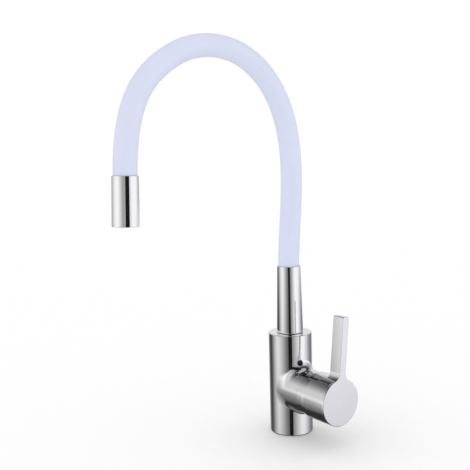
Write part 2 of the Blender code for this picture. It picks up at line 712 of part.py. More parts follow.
def handle():
    """Skirt, disc, lever and the hub that takes the spindle, in one casting."""
    hub_start = DISC_BACK - HUB_LENGTH
    last = DISC_FACE - EDGE_BREAK
    places = [SKIRT_RIM + (last - SKIRT_RIM) * step / ARC_STEPS for step in range(ARC_STEPS + 1)]
    hub_base = hub_start + EDGE_BREAK
    profile = [
        (SKIRT_RIM, SKIRT_INNER_RADIUS),
        *[(place, skirt_radius(place)) for place in places],
        (DISC_FACE, DISC_RADIUS - EDGE_BREAK),
        (DISC_FACE, 0),
        (hub_start, 0),
        (hub_start, HUB_RADIUS - EDGE_BREAK),
        (hub_base, HUB_RADIUS),
        (DISC_BACK, HUB_RADIUS),
        (DISC_BACK, SKIRT_INNER_RADIUS),
    ]
    cap = turned("handle", profile, VISIBLE_SIDES)
    lever = prism("lever", lever_outline(), DISC_FACE - LEVER_DEPTH, DISC_FACE, LEVER_EDGE)
    half = SPINDLE_HALF + SEAT_GAP
    floor = DISC_BACK - SPINDLE_SHORTFALL + SEAT_GAP
    square = block("square", (-half, -half, hub_start - OVERRUN), (half, half, floor))
    screw_place = DISC_BACK - SET_SCREW_INSET
    reach = DISC_RADIUS + SKIRT_BELLY + OVERRUN
    screw_hole = rod(
        "screw_hole",
        (0, -reach, screw_place),
        (0, 0, screw_place),
        SET_SCREW_RADIUS + SEAT_GAP,
        SMALL_SIDES,
    )
    cavity = ring("cavity", SKIRT_RIM, DISC_BACK, HUB_RADIUS + EDGE_BREAK, SKIRT_INNER_RADIUS, VISIBLE_SIDES)
    return cut(join(cap, lever), cavity, square, screw_hole)


def handle_set_screw():
    """Holds the handle on the spindle from below."""
    place = DISC_BACK - SET_SCREW_INSET
    tip = (0, -SPINDLE_HALF - SEAT_GAP, place)
    head = (0, -HUB_RADIUS, place)
    screw = rod("handle_set_screw", tip, head, SET_SCREW_RADIUS, SMALL_SIDES)
    socket_end = (0, -HUB_RADIUS - OVERRUN, place)
    return cut(screw, hex_socket((0, -HUB_RADIUS + HEX_SOCKET_DEPTH, place), socket_end))


SHANK_RADIUS = SOCKET_RADIUS - SHANK_CLEARANCE
WASHER_FOOT = BODY_HEIGHT + SEAT_GAP
FLANGE_FOOT = WASHER_FOOT + WASHER_THICKNESS + SEAT_GAP
FLANGE_TOP = FLANGE_FOOT + FLANGE_THICKNESS
FLANGE_RADIUS = NECK_BORE_RADIUS - FLANGE_CLEARANCE
HOLDING_GROOVE_RADIUS = SHANK_RADIUS - HOLDING_GROOVE_DEPTH
O_RING_GROOVE_RADIUS = SOCKET_RADIUS - SEAT_GAP * 2 - O_RING_SECTION * 2
O_RING_LOWER_HEIGHT = BUTTON_HEIGHT + (BODY_HEIGHT - BUTTON_HEIGHT) * O_RING_LOWER_SHARE
O_RING_UPPER_HEIGHT = BUTTON_HEIGHT + (BODY_HEIGHT - BUTTON_HEIGHT) * O_RING_UPPER_SHARE


def groove(height, half_width, depth_radius):
    """Outline points of a groove in the shank, from below."""
    return [
        (height - half_width, SHANK_RADIUS),
        (height - half_width, depth_radius),
        (height + half_width, depth_radius),
        (height + half_width, SHANK_RADIUS),
    ]


def spout_base():
    """The turned base that swivels in the body, with the water spigot on top."""
    o_ring_half = O_RING_SECTION + SEAT_GAP
    profile = [
        (SOCKET_FLOOR + SHANK_LIFT, BASE_BORE_RADIUS),
        (SOCKET_FLOOR + SHANK_LIFT, SHANK_RADIUS),
        *groove(BUTTON_HEIGHT, GRUB_RADIUS + HOLDING_GROOVE_CLEARANCE, HOLDING_GROOVE_RADIUS),
        *groove(O_RING_LOWER_HEIGHT, o_ring_half, O_RING_GROOVE_RADIUS),
        *groove(O_RING_UPPER_HEIGHT, o_ring_half, O_RING_GROOVE_RADIUS),
        (FLANGE_FOOT, SHANK_RADIUS),
        (FLANGE_FOOT, FLANGE_RADIUS),
        (FLANGE_TOP, FLANGE_RADIUS),
        (FLANGE_TOP, SPIGOT_RADIUS),
        (FLANGE_TOP + SPIGOT_LENGTH, SPIGOT_RADIUS),
        (FLANGE_TOP + SPIGOT_LENGTH, SPIGOT_BORE_RADIUS),
        (FLANGE_TOP, SPIGOT_BORE_RADIUS),
        (FLANGE_FOOT, BASE_BORE_RADIUS),
    ]
    return turned("spout_base", profile, INNER_SIDES)


def o_ring(name, height):
    centre = O_RING_GROOVE_RADIUS + SEAT_GAP + O_RING_SECTION
    section = arc((height, centre), O_RING_SECTION, 0, math.tau, ARC_STEPS)[:-1]
    return turned(name, section, INNER_SIDES)


def glide_washer():
    foot = WASHER_FOOT
    inner = SHANK_RADIUS + SEAT_GAP
    return ring("glide_washer", foot, foot + WASHER_THICKNESS, inner, FLANGE_RADIUS, INNER_SIDES)


def neck_sleeve():
    """The tapered chrome sleeve over the foot of the hose."""
    foot = BODY_HEIGHT + SEAT_GAP
    half_break = EDGE_BREAK / 2
    profile = [
        (foot, NECK_BORE_RADIUS),
        (foot, NECK_FOOT_RADIUS - half_break),
        (foot + half_break, NECK_FOOT_RADIUS),
        (NECK_TOP - half_break, NECK_TOP_RADIUS),
        (NECK_TOP, NECK_TOP_RADIUS - half_break),
        (NECK_TOP, NECK_BORE_RADIUS),
    ]
    return turned("neck_sleeve", profile, SLEEVE_SIDES)


CORE_FOOT = FLANGE_TOP + SEAT_GAP
CRIMP_TOP = CORE_FOOT + CRIMP_LENGTH


def spline_point(time):
    """A point on the clamped cubic curve that the route's shares control; time runs from 0 to 1."""
    controls = [
        Vector((0, -SPOUT_REACH * reach, NECK_TOP + SPOUT_RISE * rise))
        for reach, rise in zip(ROUTE_REACH_SHARES, ROUTE_RISE_SHARES)
    ]
    degree = 3
    spans = len(controls) - degree
    knots = [0] * degree + [step / spans for step in range(spans + 1)] + [1] * degree
    span = min(int(time * spans), spans - 1) + degree
    points = controls[span - degree : span + 1]
    for level in range(1, degree + 1):
        for index in range(degree, level - 1, -1):
            low = knots[span - degree + index]
            high = knots[span + 1 + index - level]
            share = (time - low) / (high - low)
            points[index] = points[index - 1].lerp(points[index], share)
    return points[degree]


def measured_route():
    """The curve's sample points with the length along it up to each."""
    points = [spline_point(step / ROUTE_SAMPLES) for step in range(ROUTE_SAMPLES + 1)]
    lengths = [0.0]
    for before, after in zip(points, points[1:]):
        lengths.append(lengths[-1] + (after - before).length)
    return points, lengths


ROUTE_POINTS, ROUTE_LENGTHS = measured_route()
ROUTE_LENGTH = ROUTE_LENGTHS[-1]
OUTLET_DIRECTION = (ROUTE_POINTS[-1] - ROUTE_POINTS[-2]).normalized()


def route_place(distance):
    """The point and the direction at a distance along the hose from the top of the neck sleeve."""
    if distance <= 0:
        return Vector((0, 0, NECK_TOP + distance)), Vector((0, 0, 1))
    if distance >= ROUTE_LENGTH:
        return ROUTE_POINTS[-1] + OUTLET_DIRECTION * (distance - ROUTE_LENGTH), OUTLET_DIRECTION
    after = next(index for index, length in enumerate(ROUTE_LENGTHS) if length >= distance)
    before = after - 1
    share = (distance - ROUTE_LENGTHS[before]) / (ROUTE_LENGTHS[after] - ROUTE_LENGTHS[before])
    point = ROUTE_POINTS[before].lerp(ROUTE_POINTS[after], share)
    ahead = ROUTE_POINTS[min(after + 1, ROUTE_SAMPLES)] - ROUTE_POINTS[max(before - 1, 0)]
    return point, ahead.normalized()


def distance_at_reach(reach):
    """How far along the hose it first reaches that far out."""
    return next(length for point, length in zip(ROUTE_POINTS, ROUTE_LENGTHS) if -point.y >= reach)


BEND_FROM = distance_at_reach(BEND_START)
BEND_TO = distance_at_reach(BEND_END)


def hose_layer(name, start, end, outer, inner):
    """A round tube along the route between two distances."""
    count = max(2, math.ceil((end - start) / HOSE_STEP))
    shape = bmesh.new()
    rings = []
    for step in range(count + 1):
        point, ahead = route_place(start + (end - start) * step / count)
        across = Vector((1, 0, 0))
        up = ahead.cross(across)
        angles = [math.tau * side / HOSE_SIDES for side in range(HOSE_SIDES)]
        rims = []
        for radius in (outer, inner):
            offsets = [across * math.cos(angle) * radius + up * math.sin(angle) * radius for angle in angles]
            rims.append([shape.verts.new(point + offset) for offset in offsets])
        rings.append(rims)
    loops = [rims[0] for rims in rings] + [rims[1] for rims in reversed(rings)]
    for here, there in zip(loops, loops[1:] + loops[:1]):
        for side in range(HOSE_SIDES):
            follow = (side + 1) % HOSE_SIDES
            shape.faces.new([here[side], here[follow], there[follow], there[side]])
    return link_mesh(name, shape)


def crimp_ring(name, low, high):
    """The metal ring pressed round an end of the gooseneck core."""
    return ring(name, low, high, CORE_RADIUS + SEAT_GAP, FLANGE_RADIUS, INNER_SIDES)


def outlet_sleeve():
    half_break = EDGE_BREAK / 2
    profile = [
        (0, OUTLET_BORE_RADIUS),
        (0, OUTLET_TOP_RADIUS - half_break),
        (half_break, OUTLET_TOP_RADIUS),
        (OUTLET_LENGTH - half_break, OUTLET_FOOT_RADIUS),
        (OUTLET_LENGTH, OUTLET_FOOT_RADIUS - half_break),
        (OUTLET_LENGTH, OUTLET_BORE_RADIUS),
    ]
    return turned("outlet_sleeve", profile, SLEEVE_SIDES)


AERATOR_RADIUS = OUTLET_BORE_RADIUS - SEAT_GAP
AERATOR_FOOT = OUTLET_LENGTH - AERATOR_RECESS
AERATOR_TOP = AERATOR_FOOT - AERATOR_LENGTH
LIP_TOP = AERATOR_FOOT - AERATOR_LIP
ADAPTER_FOOT = AERATOR_TOP - SEAT_GAP - AERATOR_WASHER_THICKNESS - SEAT_GAP
ADAPTER_TOP = ADAPTER_FOOT - ADAPTER_THICKNESS
CORE_TUCK = ADAPTER_TOP - SEAT_GAP


def outlet_adapter():
    """Joins the hose to the outlet sleeve and leads the water into the aerator."""
    profile = [
        (ADAPTER_TOP - ADAPTER_SPIGOT_LENGTH, SPIGOT_BORE_RADIUS),
        (ADAPTER_TOP - ADAPTER_SPIGOT_LENGTH, SPIGOT_RADIUS),
        (ADAPTER_TOP, SPIGOT_RADIUS),
        (ADAPTER_TOP, AERATOR_RADIUS),
        (ADAPTER_FOOT, AERATOR_RADIUS),
        (ADAPTER_FOOT, ADAPTER_CHAMBER_RADIUS),
        (ADAPTER_TOP + ADAPTER_THICKNESS / 2, SPIGOT_BORE_RADIUS),
    ]
    return turned("outlet_adapter", profile, INNER_SIDES)


def aerator_washer():
    low = ADAPTER_FOOT + SEAT_GAP
    high = low + AERATOR_WASHER_THICKNESS
    return ring("aerator_washer", low, high, AERATOR_WASHER_BORE, AERATOR_RADIUS, INNER_SIDES)


def aerator_housing():
    """The threaded cup at the mouth, with an inward lip that keeps the insert in."""
    inner = AERATOR_RADIUS - AERATOR_WALL
    profile = [
        (AERATOR_TOP, inner),
        (AERATOR_TOP, AERATOR_RADIUS),
        (AERATOR_FOOT, AERATOR_RADIUS),
        (AERATOR_FOOT, inner - AERATOR_LIP_WIDTH),
        (LIP_TOP, inner - AERATOR_LIP_WIDTH),
        (LIP_TOP, inner),
    ]
    return turned("aerator_housing", profile, SLEEVE_SIDES)


def aerator_insert():
    """The plastic flow insert: a dish with a hexagonal pattern of jets through its floor."""
    radius = AERATOR_RADIUS - AERATOR_WALL - SEAT_GAP
    foot = LIP_TOP - SEAT_GAP
    floor = foot - INSERT_FLOOR
    profile = [
        (AERATOR_TOP, radius - INSERT_DISH_WALL),
        (AERATOR_TOP, radius),
        (foot, radius),
        (foot, 0),
        (floor, 0),
        (floor, radius - INSERT_DISH_WALL),
    ]
    insert = turned("aerator_insert", profile, INNER_SIDES)
    jets = bmesh.new()
    for row in range(-INSERT_RINGS, INSERT_RINGS + 1):
        in_row = 2 * INSERT_RINGS + 1 - abs(row)
        y = row * INSERT_HOLE_PITCH * math.sqrt(3) / 2
        for column in range(in_row):
            x = (column - (in_row - 1) / 2) * INSERT_HOLE_PITCH
            bmesh.ops.create_cone(
                jets,
                cap_ends=True,
                segments=JET_SIDES,
                radius1=INSERT_HOLE_RADIUS,
                radius2=INSERT_HOLE_RADIUS,
                depth=INSERT_FLOOR + OVERRUN * 2,
                matrix=Matrix.Translation((x, y, (floor + foot) / 2)),
            )
    return cut(insert, link_mesh("jets", jets))


def build_body():
    """The pieces that stand still."""
    finish(faucet_body(), None, CHROME, 0.12, 1.0)
    finish(deck_gasket(), None, RUBBER, 0.8, 0.0)
    finish(indicator_button(), None, DARK_PLASTIC, 0.3, 0.0)
    finish(spout_grub_screw(), None, STEEL, 0.4, 1.0)


def build_cartridge(cartridge):
    """The cartridge's fixed pieces, in a frame whose Z runs out along the branch and Y points up."""
    finish(cartridge_base_plate(), cartridge, WHITE_PLASTIC, 0.5, 0.0)
    for name, x, y in PORTS:
        finish(port_seal(name, x, y), cartridge, RUBBER, 0.8, 0.0)
    finish(fixed_ceramic_disc(), cartridge, CERAMIC, 0.2, 0.0)
    finish(cartridge_housing(), cartridge, BLUE_PLASTIC, 0.5, 0.0)
    finish(retaining_nut(), cartridge, BRASS, 0.35, 1.0)
    finish(bonnet_ring(), cartridge, CHROME, 0.12, 1.0)


def build_handle(cartridge):
    """The pieces that turn and tilt, leaned to where the lever stands."""
    mix_axis = axis("mix_axis", cartridge, (0, 0, 0), (0, 0, -math.radians(REST_MIX_DEG)))
    finish(spindle_guide(), mix_axis, WHITE_PLASTIC, 0.5, 0.0)
    finish(pivot_pin(), mix_axis, STEEL, 0.3, 1.0)
    finish(moving_ceramic_disc(), mix_axis, CERAMIC, 0.2, 0.0)
    finish(disc_carrier(), mix_axis, BLUE_PLASTIC, 0.5, 0.0)
    lift_axis = axis("lift_axis", mix_axis, (0, 0, PIVOT))
    for piece, colour, roughness in (
        (spindle_lever(), BRASS, 0.35),
        (handle(), CHROME, 0.12),
        (handle_set_screw(), STEEL, 0.4),
    ):
        piece.data.transform(Matrix.Translation((0, 0, -PIVOT)))
        finish(piece, lift_axis, colour, roughness, 1.0)


def build_layers(stretch, parent, start, end):
    """The three layers of one stretch of hose; start and end each give a distance for every layer."""
    layers = (
        ("hose_sleeve", HOSE_RADIUS, SLEEVE_BORE, LAVENDER, 0.5, 0.0),
        ("gooseneck_core", CORE_RADIUS, CORE_BORE, STEEL, 0.4, 1.0),
        ("water_tube", TUBE_RADIUS, TUBE_BORE, WHITE_PLASTIC, 0.5, 0.0),
    )
    lift = Matrix.Translation(-parent.matrix_world.translation)
    for (name, outer, inner, colour, roughness, metallic), low, high in zip(layers, start, end):
        piece = hose_layer(f"{name}_{stretch}", low, high, outer, inner)
        piece.data.transform(lift)
        finish(piece, parent, colour, roughness, metallic)


def build_spout():
    """The spout: base and neck sleeve, the hose in three stretches, and the outlet."""
    swivel_axis = axis("swivel_axis", None, (0, 0, 0))
    finish(spout_base(), swivel_axis, BRASS, 0.35, 1.0)
    finish(o_ring("o_ring_lower", O_RING_LOWER_HEIGHT), swivel_axis, RUBBER, 0.8, 0.0)
    finish(o_ring("o_ring_upper", O_RING_UPPER_HEIGHT), swivel_axis, RUBBER, 0.8, 0.0)
    finish(glide_washer(), swivel_axis, WHITE_PLASTIC, 0.5, 0.0)
    finish(neck_sleeve(), swivel_axis, CHROME, 0.12, 1.0)
    finish(crimp_ring("lower_crimp_ring", CORE_FOOT, CRIMP_TOP), swivel_axis, STEEL, 0.4, 1.0)
    bend_middle, _ = route_place((BEND_FROM + BEND_TO) / 2)
    bend_axis = axis("bend_axis", swivel_axis, bend_middle)
    bpy.context.view_layer.update()
    half_gap = SEAT_GAP / 2
    core_start = CORE_FOOT - NECK_TOP
    sleeve_start = CRIMP_TOP + SEAT_GAP - NECK_TOP
    foot = (sleeve_start, core_start, core_start)
    before = [BEND_FROM - half_gap] * 3
    build_layers("riser", swivel_axis, foot, before)
    build_layers("arch", swivel_axis, [BEND_FROM + half_gap] * 3, [BEND_TO - half_gap] * 3)
    tip = (ROUTE_LENGTH + SLEEVE_TUCK, ROUTE_LENGTH + CORE_TUCK, ROUTE_LENGTH + CORE_TUCK)
    build_layers("drop", bend_axis, [BEND_TO + half_gap] * 3, tip)
    build_outlet(bend_axis, ROUTE_POINTS[-1] - bend_middle)


def build_outlet(bend_axis, place):
    """The outlet's pieces, in a frame whose Z runs down out of the mouth."""
    tilt = math.atan2(-OUTLET_DIRECTION.y, OUTLET_DIRECTION.z)
    outlet = axis("outlet_axis", bend_axis, place, (tilt, 0, 0))
    finish(outlet_sleeve(), outlet, CHROME, 0.12, 1.0)
    finish(crimp_ring("upper_crimp_ring", SLEEVE_TUCK + SEAT_GAP, CORE_TUCK), outlet, STEEL, 0.4, 1.0)
    finish(outlet_adapter(), outlet, BRASS, 0.35, 1.0)
    finish(aerator_washer(), outlet, RUBBER, 0.8, 0.0)
    finish(aerator_insert(), outlet, WHITE_PLASTIC, 0.5, 0.0)
    finish(aerator_housing(), outlet, CHROME, 0.12, 1.0)


def main():
    clear_scene()
    build_body()
    cartridge = axis("cartridge_axis", None, (0, 0, BRANCH_HEIGHT), (math.pi / 2, 0, math.pi / 2))
    build_cartridge(cartridge)
    build_handle(cartridge)
    build_spout()


main()
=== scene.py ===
"""Looks for the kitchen faucet: polished chrome, a pale silicone hose, a white studio and the camera.

Metres, +Z up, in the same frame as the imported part. The spout points along -Y, the handle along +X.
"""

import json
import math

import bmesh
import bpy
from mathutils import Matrix, Vector


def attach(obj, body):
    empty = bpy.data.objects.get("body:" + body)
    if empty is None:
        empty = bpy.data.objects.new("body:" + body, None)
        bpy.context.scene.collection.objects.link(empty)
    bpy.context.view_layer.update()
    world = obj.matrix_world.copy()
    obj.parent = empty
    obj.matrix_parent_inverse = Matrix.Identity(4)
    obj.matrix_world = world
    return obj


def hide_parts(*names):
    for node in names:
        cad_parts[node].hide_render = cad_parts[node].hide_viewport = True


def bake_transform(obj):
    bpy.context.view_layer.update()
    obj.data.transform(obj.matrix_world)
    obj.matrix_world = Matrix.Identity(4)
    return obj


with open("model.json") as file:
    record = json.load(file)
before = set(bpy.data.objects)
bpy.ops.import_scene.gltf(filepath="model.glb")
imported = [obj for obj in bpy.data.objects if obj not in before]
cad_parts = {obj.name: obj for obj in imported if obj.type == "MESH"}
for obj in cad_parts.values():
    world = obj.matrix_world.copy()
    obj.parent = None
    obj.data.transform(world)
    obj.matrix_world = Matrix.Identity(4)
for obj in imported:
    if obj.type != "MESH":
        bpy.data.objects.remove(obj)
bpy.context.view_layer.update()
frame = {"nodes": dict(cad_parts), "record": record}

UP = Vector((0, 0, 1))

# Facets
ROUND_SIDES = 144
BORE_SIDES = 48
HOLE_SIDES = 24
ARC_STEPS = 12
EDGE_STEPS = 4
FILLET_STEPS = 20
SMOOTH_TURN_DEG = 40
LEAST_NORMAL = 0.5

# Shared clearances
SEAT_GAP = 0.0003
OVERRUN = 0.001
EDGE_ROUND = 0.0006

# Body
BODY_RADIUS = 0.024
BODY_HEIGHT = 0.1126
BASE_ROUNDING = 0.0015
BRANCH_RADIUS = 0.0238
BRANCH_HEIGHT = 0.0512
BRANCH_END = 0.03755
BRANCH_TOP_FILLET = 0.010
BRANCH_FOOT_FILLET = 0.004
BRANCH_SIDE_FILLET = 0.050
FILLET_GROWTH = 12
FILLET_SINK = 0.00001
FILLET_ROOT = 0.003
SEAM_ROUND = 0.00005

# Bores in the body
CARTRIDGE_FLOOR = 0.004
CARTRIDGE_RADIUS = 0.0174
CARTRIDGE_BORE = 0.0178
SOCKET_FLOOR = 0.076
SOCKET_RADIUS = 0.010
INLET_RADIUS = 0.005
INLET_DEPTH = 0.015
INLET_BACK = 0.009
INLET_SPREAD = 0.009
INLET_PORT_SPREAD = 0.007
INLET_PORT_RISE = 0.004
INLET_PASSAGE_RADIUS = 0.0035
PORT_RADIUS = 0.0028
OUTLET_PORT_DROP = 0.0075
OUTLET_PASSAGE_RADIUS = 0.003
OUTLET_PASSAGE_BACK = 0.0035
STUD_RADIUS = 0.004
STUD_DEPTH = 0.018
STUD_FRONT = 0.011
GASKET_OUTER_RADIUS = 0.0211
GASKET_INNER_RADIUS = 0.0189
GASKET_THICKNESS = 0.0021

# Round button and the grub screw behind it
BUTTON_HEIGHT = 0.0825
BUTTON_AZIMUTH_DEG = -14.2
BUTTON_RADIUS = 0.0031
BUTTON_THICKNESS = 0.003
BUTTON_RECESS = 0.0004
BUTTON_EDGE = 0.0004
GRUB_RADIUS = 0.0022

# Bonnet ring, domed about the handle's pin
PIVOT = 0.025
BONNET_BACK = 0.0376
BONNET_END = 0.044
BONNET_TAPER = 0.0002
BONNET_SPIGOT_BACK = 0.032
BONNET_BORE = 0.0146
BONNET_FLOOR = 0.002
BONNET_BAND_INNER = 0.021
BONNET_DOME_WALL = 0.0022
BONNET_OPENING = 0.0155
HANDLE_CLEARANCE = 0.0006

# Handle
REST_MIX_DEG = 5.7
COLLAR_LENGTH = 0.0049
COLLAR_RADIUS = 0.0251
COLLAR_TAPER = 0.00025
COLLAR_GAP = 0.00035
SHOULDER = 0.0001
SKIRT_RADIUS = 0.0253
SKIRT_INNER_RADIUS = 0.0234
SKIRT_ROLL = 4
SKIRT_EDGE = 0.0003
DISC_FACE = 0.0803
DISC_BACK = 0.074
DISC_RADIUS = 0.025
DISC_EDGE = 0.0007
RIM_GROOVE_BACK = 0.0016
RIM_GROOVE_WIDTH = 0.0005
RIM_GROOVE_DEPTH = 0.0005
HUB_RADIUS = 0.0085
HUB_LENGTH = 0.0175
SPINDLE_HALF = 0.004
SPINDLE_END = 0.066
SET_SCREW_RADIUS = 0.0022
SET_SCREW_PLACE = 0.0635
LEVER_LENGTH = 0.0902
LEVER_WIDTH = 0.0088
LEVER_DEPTH = 0.0146
LEVER_FILLET = 0.009
LEVER_ROOT_SHARE = 0.8
LEVER_EDGE = 0.0005
LEVER_CORNER = 0.0018
LEVER_CROWN_DEG = 2.5

# Neck sleeve
NECK_TOP = 0.1872
NECK_FOOT_RADIUS = 0.01464
NECK_TOP_RADIUS = 0.01299
NECK_BORE = 0.01195

# Hose and its route above the neck sleeve, as shares of its reach and its rise
HOSE_RADIUS = 0.0116
HOSE_BORE = 0.0093
HOSE_SIDES = 56
HOSE_STEP = 0.003
HOSE_FOOT = -0.0372
HOSE_TUCK = 0.011
HOSE_STRETCHES = ("riser", "arch", "drop")
CORE_RADIUS = 0.0090
CORE_BORE = 0.0063
CORE_FOOT = -0.0689
CORE_TUCK = 0.0201
TUBE_RADIUS = 0.0060
TUBE_BORE = 0.0043
SPOUT_REACH = 0.1969
SPOUT_RISE = 0.2330
ROUTE_REACH_SHARES = (0.0, 0.0, -0.026, -0.039, 0.038, 0.240, 0.521, 0.8075, 0.990, 1.0)
ROUTE_RISE_SHARES = (0.0, 0.068, 0.273, 0.5445, 0.794, 0.972, 1.022, 0.9265, 0.7315, 0.456)
ROUTE_SAMPLES = 1200

# Outlet, measured down from the top of the outlet sleeve
OUTLET_LENGTH = 0.0477
OUTLET_TOP_RADIUS = 0.0129
OUTLET_FOOT_RADIUS = 0.01325
OUTLET_BORE = 0.01195
AERATOR_RADIUS = 0.01165
AERATOR_TOP = 0.0340
AERATOR_FOOT = 0.0474
AERATOR_INNER = 0.01055
AERATOR_LIP = 0.0024
AERATOR_LIP_RADIUS = 0.00925
INSERT_RADIUS = 0.01025
INSERT_DISH_RADIUS = 0.00865
INSERT_FOOT = 0.0447
INSERT_FLOOR = 0.003
INSERT_HOLE_RADIUS = 0.0009
INSERT_HOLE_PITCH = 0.0034
INSERT_RINGS = 2

# Looks: the range of the noise that is used, and the depth of each surface's relief
NOISE_LOW = 0.3
NOISE_HIGH = 0.7
CHROME_RELIEF = 0.0000008
TOOL_MARKS = 0.00001
SILICONE_RELIEF = 0.000006
RUBBER_RELIEF = 0.00002
PLASTIC_RELIEF = 0.00001
GLOSSY_PLASTIC_RELIEF = 0.0000005
CERAMIC_RELIEF = 0.000003

# Camera, fitted to the photo
CAMERA_PLACE = (0.61247, -0.51013, 0.30687)
CAMERA_LENS = 55.43
CAMERA_SENSOR = 36
CAMERA_YAW_DEG = 4.227
CAMERA_PITCH_DEG = -6.032
CAMERA_ROLL_DEG = -1.520

# Studio
FLOOR_RADIUS = 1.6
CARD_DISTANCE = 0.415
CARD_OFFSET = 0.0285
CARD_LOW_WIDTH = 0.123
CARD_HIGH_WIDTH = 0.190
CARD_FOOT = -0.35
CARD_WAIST = 0.19
CARD_SHOULDER = 0.22
CARD_TOP = 1.1
CARD_BLACK = (0.012, 0.012, 0.012, 1)


# Meshes, in which each corner carries the true normal of the curved surface that it lies on


def smooth_normals(outline):
    """For each stretch of a closed outline, its normals at both ends, shared where the turn is slight;
    the longer stretch has the greater say, so flat faces stay flat up to a rounded edge."""
    count = len(outline)
    stretches = [Vector(outline[(index + 1) % count]) - Vector(outline[index]) for index in range(count)]
    limit = math.radians(SMOOTH_TURN_DEG)
    pairs = []
    for index in range(count):
        own = stretches[index]
        ends = []
        for neighbour in (stretches[index - 1], stretches[(index + 1) % count]):
            shared = own
            if own.angle(neighbour) < limit:
                shared = own * own.length + neighbour * neighbour.length
            ends.append(Vector((shared.y, -shared.x)).normalized())
        pairs.append(ends)
    return pairs


def link(name, shape):
    """Turns a finished mesh into an object of the scene."""
    bmesh.ops.recalc_face_normals(shape, faces=shape.faces)
    mesh = bpy.data.meshes.new(name)
    shape.to_mesh(mesh)
    shape.free()
    obj = bpy.data.objects.new(name, mesh)
    bpy.context.scene.collection.objects.link(obj)
    return obj


def add_face(shape, facing, corners):
    """One face from (vertex, normal) corners, leaving out repeated vertices."""
    kept = {}
    for vertex, normal in corners:
        kept.setdefault(vertex, normal)
    if len(kept) < 3:
        return
    face = shape.faces.new(list(kept))
    for loop in face.loops:
        loop[facing] = kept[loop.vert]


def turned(name, outline, sides=ROUND_SIDES, place=Matrix.Identity(4)):
    """A body turned about Z from a closed outline of (height, radius) points, then put in place."""
    shape = bmesh.new()
    facing = shape.loops.layers.float_vector.new("facing")
    turn = place.to_3x3()
    angles = [math.tau * step / sides for step in range(sides)]
    rings = []
    for height, radius in outline:
        if radius == 0:
            rings.append([shape.verts.new(place @ Vector((0, 0, height)))] * sides)
            continue
        spots = [Vector((radius * math.cos(angle), radius * math.sin(angle), height)) for angle in angles]
        rings.append([shape.verts.new(place @ spot) for spot in spots])
    for index, (first, last) in enumerate(smooth_normals(outline)):
        follow = (index + 1) % len(outline)
        if outline[index][1] == 0 and outline[follow][1] == 0:
            continue
        for side in range(sides):
            after = (side + 1) % sides
            corners = []
            for ring, step, normal in (
                (rings[index], side, first),
                (rings[index], after, first),
                (rings[follow], after, last),
                (rings[follow], side, last),
            ):
                angle = angles[step]
                out = Vector((normal.y * math.cos(angle), normal.y * math.sin(angle), normal.x))
                corners.append((ring[step], turn @ out))
            add_face(shape, facing, corners)
    return link(name, shape)


def place_along(start, end):
    """The matrix that puts a body turned about Z on the line from start to end."""
    start = Vector(start)
    turn = (Vector(end) - start).to_track_quat("Z", "Y").to_matrix().to_4x4()
    return Matrix.Translation(start) @ turn


def rod(name, start, end, radius, sides=BORE_SIDES):
    """A round rod from one point to another."""
    length = (Vector(end) - Vector(start)).length
    outline = [(0, 0), (0, radius), (length, radius), (length, 0)]
    return turned(name, outline, sides, place_along(start, end))


def tube(name, low, high, inner, outer, place=Matrix.Identity(4)):
    """A round tube between two heights."""
    outline = [(low, inner), (low, outer), (high, outer), (high, inner)]
    return turned(name, outline, place=place)


def block(name, low, high, place=Matrix.Identity(4)):
    """A box between two corners."""
    shape = bmesh.new()
    bmesh.ops.create_cube(shape, size=1)
    low = Vector(low)
    high = Vector(high)
    bmesh.ops.scale(shape, vec=high - low, verts=shape.verts)
    bmesh.ops.translate(shape, vec=(low + high) / 2, verts=shape.verts)
    bmesh.ops.transform(shape, matrix=place, verts=shape.verts)
    return link(name, shape)


def combine(obj, others, operation):
    """Joins or cuts obj with the others, which are used up."""
    for other in others:
        modifier = obj.modifiers.new(operation.lower(), "BOOLEAN")
        modifier.operation = operation
        modifier.solver = "EXACT"
        modifier.object = other
        result = obj.evaluated_get(bpy.context.evaluated_depsgraph_get())
        mesh = bpy.data.meshes.new_from_object(result)
        obj.modifiers.clear()
        obj.data = mesh
        bpy.data.objects.remove(other, do_unlink=True)
    return obj


def cut(obj, *cutters):
    return combine(obj, cutters, "DIFFERENCE")


def join(obj, *others):
    return combine(obj, others, "UNION")


def arc(centre, radius, start, end, steps):
    """Points on an arc between two angles, both ends included."""
    x, y = centre
    angles = [start + (end - start) * step / steps for step in range(steps + 1)]
    return [(x + radius * math.cos(angle), y + radius * math.sin(angle)) for angle in angles]


def near_edge(end, side, radius):
    """Points of a rounded edge that leads from the near end of an outline to its outer side."""
    return arc((end + radius, side - radius), radius, math.pi, math.pi / 2, EDGE_STEPS)


def far_edge(end, side, radius):
    """Points of a rounded edge that leads from the outer side of an outline to its far end."""
    return arc((end - radius, side - radius), radius, math.pi / 2, 0, EDGE_STEPS)


def set_normals(obj):
    """Turns the carried normals into the mesh's own; faces that carry none are flat."""
    mesh = obj.data
    facing = mesh.attributes["facing"].data
    normals = []
    for polygon in mesh.polygons:
        for corner in polygon.loop_indices:
            normal = Vector(facing[corner].vector)
            if normal.length < LEAST_NORMAL:
                normal = polygon.normal.copy()
            if normal.dot(polygon.normal) < 0:
                normal.negate()
            normals.append(normal.normalized())
    mesh.attributes.remove(mesh.attributes["facing"])
    mesh.shade_smooth()
    mesh.normals_split_custom_set(normals)


# Materials


def set_inputs(node, values):
    """Sets inputs of a node by their names."""
    for name, value in values.items():
        node.inputs[name].default_value = value


def new_material(name):
    """A node material, with its nodes, its links, its shader and the object's own coordinates."""
    material = bpy.data.materials.new(name)
    material.use_nodes = True
    nodes = material.node_tree.nodes
    place = nodes.new("ShaderNodeTexCoord")
    return material, nodes, material.node_tree.links, nodes["Principled BSDF"], place.outputs["Object"]


